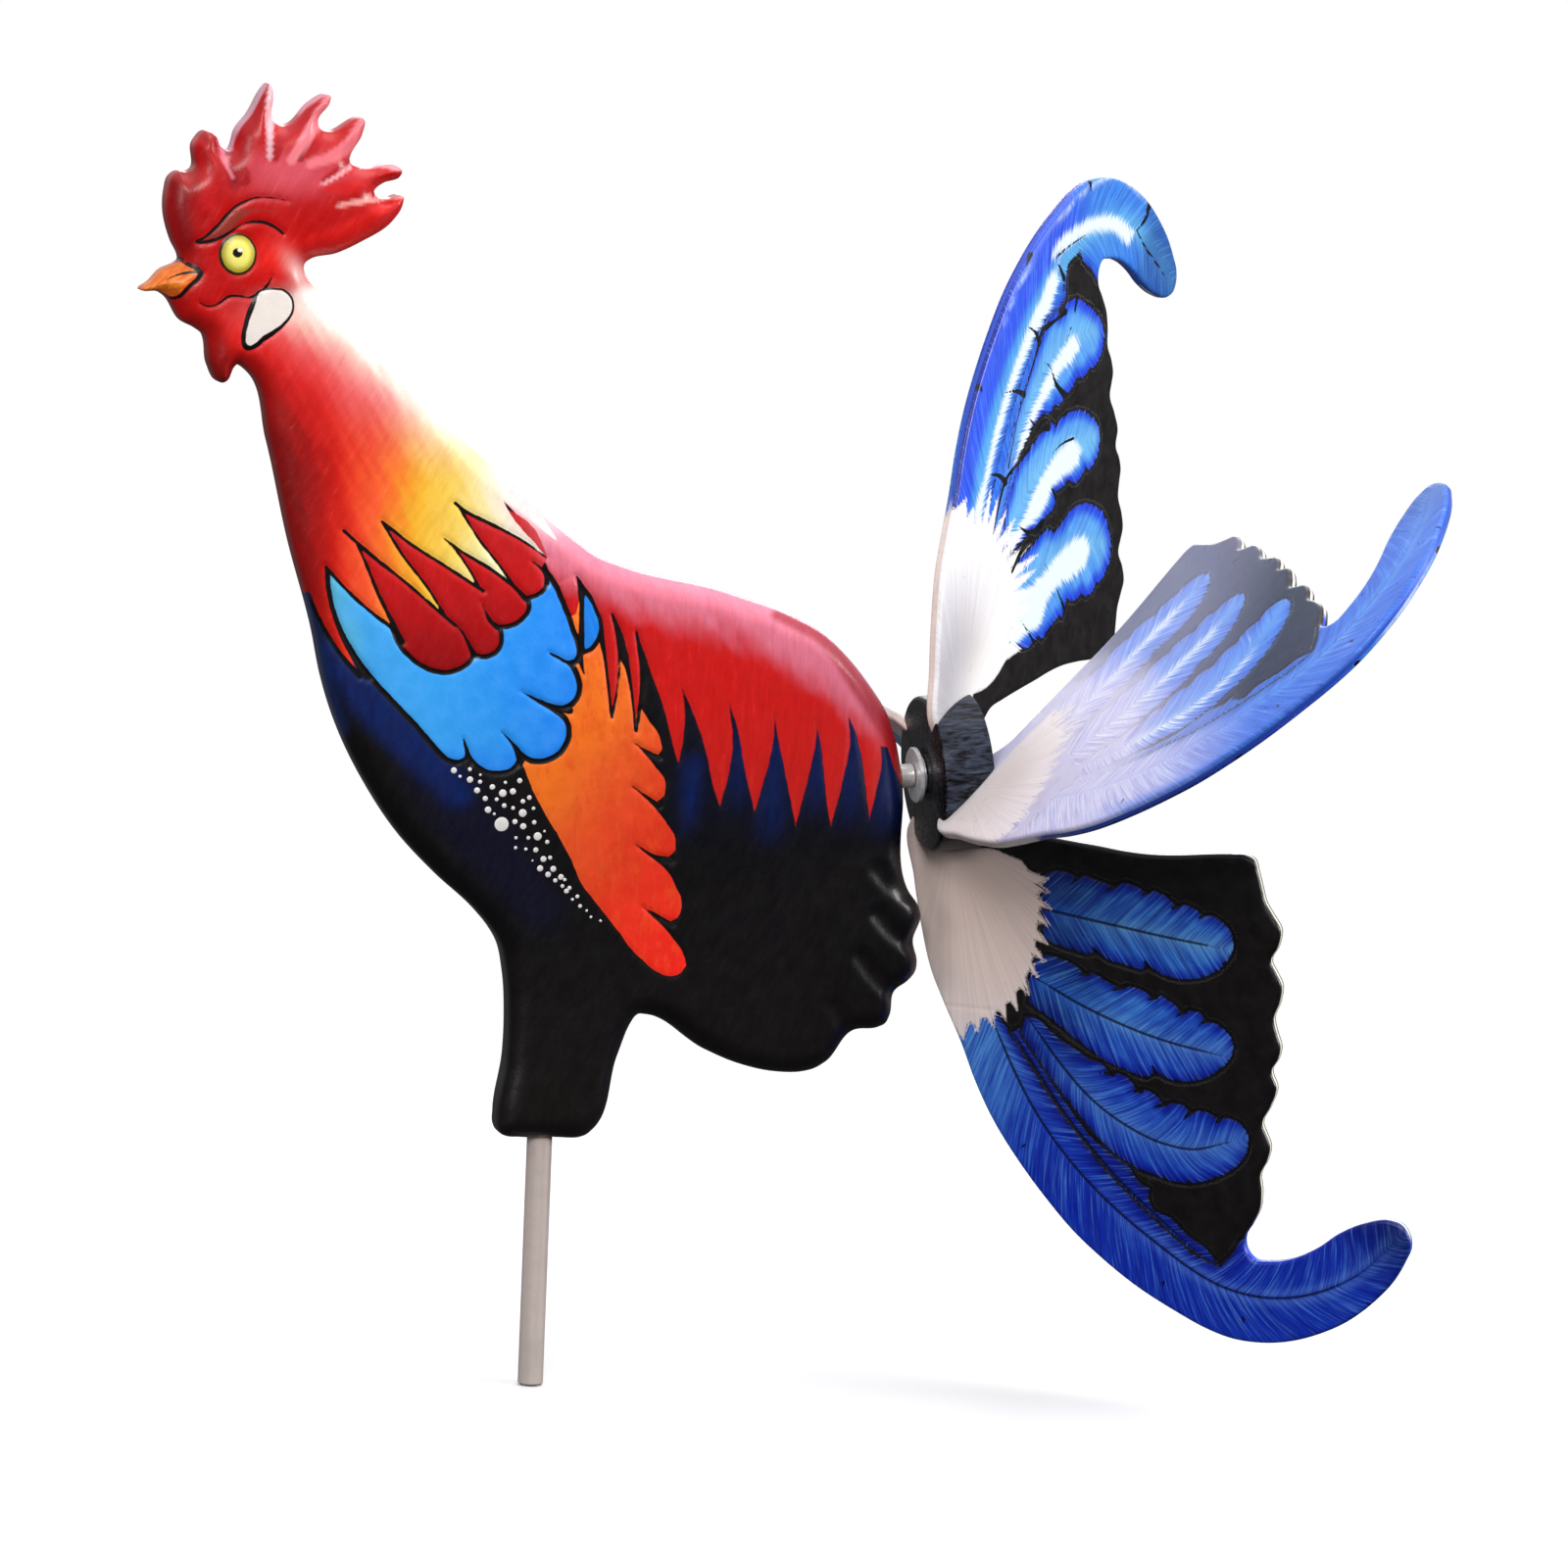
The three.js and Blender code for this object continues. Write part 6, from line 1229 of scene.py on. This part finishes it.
# white paint dots, slightly raised, on both faces
bm = bmesh.new()
tree = kdtree.KDTree(len(BP))
for i, (p, d) in enumerate(zip(BP, BD)):
    tree.insert((p[0], p[1], 0), i)
tree.balance()
for x, z, r in DOTS:
    i = tree.find((x, z, 0))[1]
    y0 = BH[i]
    for sgn in (-1, 1):
        seg = 20
        prev = None
        for rr, hh in ((r, -0.25), (r * 0.98, 0.05), (r * 0.8, 0.17), (r * 0.45, 0.24)):
            ring = [bm.verts.new(Vector((x + rr * math.cos(2 * math.pi * k / seg), sgn * (y0 + hh), z + rr * math.sin(2 * math.pi * k / seg))) * MM) for k in range(seg)]
            if prev:
                for k in range(seg):
                    bm.faces.new((prev[k], prev[(k + 1) % seg], ring[(k + 1) % seg], ring[k]))
            else:
                bm.faces.new(ring[::-1])
            prev = ring
        top = bm.verts.new(Vector((x, sgn * (y0 + 0.26), z)) * MM)
        for k in range(seg):
            bm.faces.new((prev[k], prev[(k + 1) % seg], top))
bmesh.ops.recalc_face_normals(bm, faces=bm.faces)
me = bpy.data.meshes.new("breast_dots")
bm.to_mesh(me); bm.free(); me.shade_smooth(); me.set_sharp_from_angle(angle=math.radians(60))
dots = bpy.data.objects.new("breast_dots", me)
bpy.context.scene.collection.objects.link(dots)
material(dots, M_DOT)
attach(dots, "rooster")

# rod and swivel
rod = lathe("steel_rod", [(0, 0), (4.25, 0), (4.75, 0.5), (4.75, 184.2), (4.25, 184.7), (0, 184.7)], (0, 0, 0), (0, 0, 1), 96)
material(rod, M_ROD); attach(rod, "pole"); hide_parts("pole_rod")
sleeve = lathe("swivel_sleeve", [(5.05, 95.8), (5.45, 95.4), (6.1, 95.4), (6.5, 95.8), (6.5, 184.6), (5.05, 184.6)], (0, 0, 0), (0, 0, 1), 96)
material(sleeve, M_BRASS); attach(sleeve, "rooster"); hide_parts("pivot_sleeve")
plug = lathe("swivel_plug", [(0, 185.0), (6.1, 185.0), (6.5, 185.4), (6.5, 187.6), (6.1, 188.0), (0, 188.0)], (0, 0, 0), (0, 0, 1), 64)
material(plug, M_STEEL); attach(plug, "rooster"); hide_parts("pivot_plug")

# axle
thread = [(2.4, -6.0 - 1.0 * k) for k in range(0)]
screw = lathe("tail_axle", [(0, -62), (0.5, -61.4), (2.15, -56.2), (2.4, -55.6), (2.4, 5.2), (4.6, 5.2), (4.8, 5.4), (4.8, 7.4), (4.55, 8.0), (4.0, 8.4), (3.2, 8.6), (1.95, 8.6), (1.85, 8.5), (1.85, 6.6), (0, 6.4)], HUB, AX, 96, hexagon={11, 12, 13})
material(screw, M_ZINC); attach(screw, "rooster"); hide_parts("tail_axle_screw")
for name, node, rin, rout, s0, s1, m, slot in (
    ("rooster_side_washer", "rooster_washer", 2.7, 10.5, -20.35, -18.55, M_ZINC, "zinc_plate"),
    ("spacer", "spacer_tube", 2.7, 4.5, -26.0, -20.65, M_STEEL, "steel"),
    ("hub_washer_front", "hub_front_washer", 2.7, 7.5, -18.25, -16.95, M_ZINC, "zinc_plate"),
    ("hub_washer_rear", "hub_rear_washer", 2.7, 7.5, 3.6, 4.9, M_ZINC, "zinc_plate"),
):
    w = washer(name, rin, rout, s0, s1)
    material(w, m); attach(w, "rooster"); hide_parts(node)

# hub with its four blade slots
hub = lathe("hub", [(4.3, HUB_FRONT + 0.5), (4.8, HUB_FRONT), (28.0, HUB_FRONT), (28.75, HUB_FRONT + 0.2), (29.3, HUB_FRONT + 0.75), (29.5, HUB_FRONT + 1.5), (29.5, HUB_REAR - 1.5), (29.3, HUB_REAR - 0.75), (28.75, HUB_REAR - 0.2), (28.0, HUB_REAR), (4.8, HUB_REAR), (4.3, HUB_REAR - 0.5)], HUB, AX, 160)


def blade_frame(i):
    """radial, chordwise and normal directions of blade i"""
    a = START + i * math.pi / 2
    r = Vector((0, -math.sin(a), math.cos(a)))
    t = Vector((0, math.cos(a), math.sin(a)))
    v = Vector((1, 0, 0)) * math.cos(PITCH) + t * math.sin(PITCH)
    n = r.cross(v)
    tip = lambda q: Vector((q.x * math.cos(TILT) - q.z * math.sin(TILT), q.y, q.x * math.sin(TILT) + q.z * math.cos(TILT)))
    return tip(r), tip(v), tip(n)


SLOT = [(10.03, 3.1), (10.03, -7.55), (22.05, -24.1), (44, -22.6), (44, 41), (22.6, 41), (20.4, 19.35)]
for i in range(4):
    r, v, n = blade_frame(i)
    bm = bmesh.new()
    lo = [bm.verts.new(HUB + (r * a + v * b - n * 2.58) * MM) for a, b in SLOT]
    hi = [bm.verts.new(HUB + (r * a + v * b + n * 2.58) * MM) for a, b in SLOT]
    bm.faces.new(lo[::-1]); bm.faces.new(hi)
    for k in range(len(SLOT)):
        j = (k + 1) % len(SLOT)
        bm.faces.new((lo[k], lo[j], hi[j], hi[k]))
    bmesh.ops.recalc_face_normals(bm, faces=bm.faces)
    me = bpy.data.meshes.new("tool_slot"); bm.to_mesh(me); bm.free()
    tool = bpy.data.objects.new("tool_slot", me)
    bpy.context.scene.collection.objects.link(tool)
    cut(hub, tool)
hub.data.shade_smooth()
hub.data.set_sharp_from_angle(angle=math.radians(35))
material(hub, M_HUB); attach(hub, "tail_spinner"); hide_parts("tail_hub")
bush = lathe("bushing", [(2.7, HUB_FRONT + 0.3), (3.0, HUB_FRONT), (3.7, HUB_FRONT), (4.0, HUB_FRONT + 0.3), (4.0, HUB_REAR - 0.3), (3.7, HUB_REAR), (3.0, HUB_REAR), (2.7, HUB_REAR - 0.3)], HUB, AX, 64)
material(bush, M_BRASS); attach(bush, "tail_spinner"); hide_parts("hub_bushing")

# blades
P, F, n0, hf, hb, ff, fb, fs = blade_set()
for i in range(4):
    r, v, n = (np.array(q) for q in blade_frame(i))
    place = lambda U, V, Y: (np.array(HUB)[None] + (U[:, None] * r + V[:, None] * v - Y[:, None] * n) * MM)
    b = plate_mesh("blade_%d" % (i + 1), P, F, n0, hf, hb, 2, place, fs if i == 1 else ff, fb)
    material(b, M_BLADE)
    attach(b, "tail_spinner"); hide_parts("tail_blade_%d" % (i + 1))

# ------------------------------------------------------------------ studio
bm = bmesh.new()
rings = []
for rr in (0.0, 0.15, 0.3, 0.45, 0.6, 0.75, 0.9, 1.05):
    if rr == 0:
        rings.append([bm.verts.new((0.07, 0, -0.0005))])
        continue
    rings.append([bm.verts.new((0.07 + rr * math.cos(2 * math.pi * k / 96), rr * math.sin(2 * math.pi * k / 96), -0.0005)) for k in range(96)])
for p, q in zip(rings[:-1], rings[1:]):
    for k in range(96):
        j = (k + 1) % 96
        bm.faces.new((p[0], q[k], q[j]) if len(p) == 1 else (p[k], q[k], q[j], p[j]))
me = bpy.data.meshes.new("floor"); bm.to_mesh(me); bm.free()
floor = bpy.data.objects.new("floor", me)
bpy.context.scene.collection.objects.link(floor)
fm = Mat("floor_pale", roughness=0.85, spec=0.1)
fm.put(fm.p.inputs["Base Color"], fm.mix(fm.noise(fm.coords(), 3.0, 2.0), (0.86, 0.86, 0.86), (0.84, 0.84, 0.845)))
# the floor fades into the white backdrop
tcn = fm.node("ShaderNodeTexCoord")
ln = fm.node("ShaderNodeVectorMath", operation="LENGTH")
fm.t.links.new(tcn.outputs["Object"], ln.inputs[0])
clear = fm.node("ShaderNodeBsdfTransparent")
mixs = fm.node("ShaderNodeMixShader")
fm.put(mixs.inputs[0], fm.span(ln.outputs["Value"], 0.30, 0.92, 0.0, 1.0, smooth=True))
fm.t.links.new(fm.p.outputs[0], mixs.inputs[1])
fm.t.links.new(clear.outputs[0], mixs.inputs[2])
fm.t.links.new(mixs.outputs[0], fm.out.inputs[0])
material(floor, fm.m)
floor.visible_diffuse = False
floor.visible_glossy = False

# white backdrop for the eye; a soft sky with dark front for light and reflections
world = bpy.data.worlds.new("studio")
bpy.context.scene.world = world
world.use_nodes = True
wt = world.node_tree
wt.nodes.clear()
wo = wt.nodes.new("ShaderNodeOutputWorld")
lp = wt.nodes.new("ShaderNodeLightPath")
seen = wt.nodes.new("ShaderNodeBackground"); seen.inputs[0].default_value = (1, 1, 1, 1); seen.inputs[1].default_value = 1.0
sky = wt.nodes.new("ShaderNodeBackground")
tc = wt.nodes.new("ShaderNodeTexCoord")
sx = wt.nodes.new("ShaderNodeSeparateXYZ")
wt.links.new(tc.outputs["Generated"], sx.inputs[0])


def wspan(v, a, b, c, d):
    n = wt.nodes.new("ShaderNodeMapRange")
    n.interpolation_type = "SMOOTHSTEP"
    wt.links.new(v, n.inputs[0])
    for k, x in enumerate((a, b, c, d)):
        n.inputs[k + 1].default_value = x
    return n.outputs[0]


above = wspan(sx.outputs[2], 0.15, 0.95, 0.0, 1.0)
behind = wspan(sx.outputs[1], 0.15, 0.80, 0.0, 0.60)
right = wspan(sx.outputs[0], 0.35, 0.95, 0.0, 0.06)
a1 = wt.nodes.new("ShaderNodeMath"); a1.operation = "MAXIMUM"
wt.links.new(above, a1.inputs[0]); wt.links.new(behind, a1.inputs[1])
a2 = wt.nodes.new("ShaderNodeMath"); a2.operation = "ADD"
wt.links.new(a1.outputs[0], a2.inputs[0]); wt.links.new(right, a2.inputs[1])
upper = wspan(sx.outputs[2], -0.12, 0.22, 0.10, 1.0)
a3 = wt.nodes.new("ShaderNodeMath"); a3.operation = "MULTIPLY"
wt.links.new(a2.outputs[0], a3.inputs[0]); wt.links.new(upper, a3.inputs[1])
a4 = wt.nodes.new("ShaderNodeMath"); a4.operation = "ADD"
wt.links.new(a3.outputs[0], a4.inputs[0]); a4.inputs[1].default_value = 0.05
sky.inputs[0].default_value = (1.0, 1.0, 1.02, 1)
wt.links.new(a4.outputs[0], sky.inputs[1])
mx = wt.nodes.new("ShaderNodeMixShader")
wt.links.new(lp.outputs["Is Camera Ray"], mx.inputs[0])
wt.links.new(sky.outputs[0], mx.inputs[1])
wt.links.new(seen.outputs[0], mx.inputs[2])
wt.links.new(mx.outputs[0], wo.inputs[0])


def area(name, at, aim, size, watts, colour=(1, 1, 1)):
    d = bpy.data.lights.new(name, "AREA")
    d.shape = "RECTANGLE"
    d.size, d.size_y = size
    d.energy = watts
    d.color = colour
    o = bpy.data.objects.new(name, d)
    bpy.context.scene.collection.objects.link(o)
    o.location = at
    o.rotation_euler = (Vector(aim) - Vector(at)).to_track_quat("-Z", "Y").to_euler()
    return o


area("key", (2.5, -1.05, 1.0), (0.05, 0, 0.26), (1.0, 1.0), 58, (1.0, 0.985, 0.96))
area("front", (-0.65, -2.25, 1.55), (0.10, 0, 0.24), (1.2, 0.9), 35, (1.0, 0.985, 0.97))
area("left", (-2.0, -1.65, 0.85), (0.10, 0, 0.22), (1.0, 1.0), 16, (1.0, 0.97, 0.95))
area("top", (0.5, 0.0, 2.4), (0.05, 0, 0.25), (1.2, 1.2), 10)
area("back", (0.9, 2.3, 1.3), (0.0, 0, 0.25), (1.4, 1.0), 24)

cam = bpy.data.cameras.new("camera")
cam.sensor_width = 36
cam.sensor_fit = "HORIZONTAL"
cam.lens = 135.945
cam.clip_start, cam.clip_end = 0.05, 200
co = bpy.data.objects.new("camera", cam)
bpy.context.scene.collection.objects.link(co)
R = Matrix(((0.963187, -0.004240, -0.268799), (-0.265339, 0.145660, -0.953089), (0.043195, 0.989326, 0.139173)))
co.matrix_world = Matrix.Translation((-0.5072034, -2.1133179, 0.5364235)) @ R.to_4x4()
bpy.context.scene.camera = co
bpy.context.scene.view_settings.view_transform = "Standard"
bpy.context.scene.view_settings.look = "None"
bpy.context.scene.view_settings.exposure = 0.0
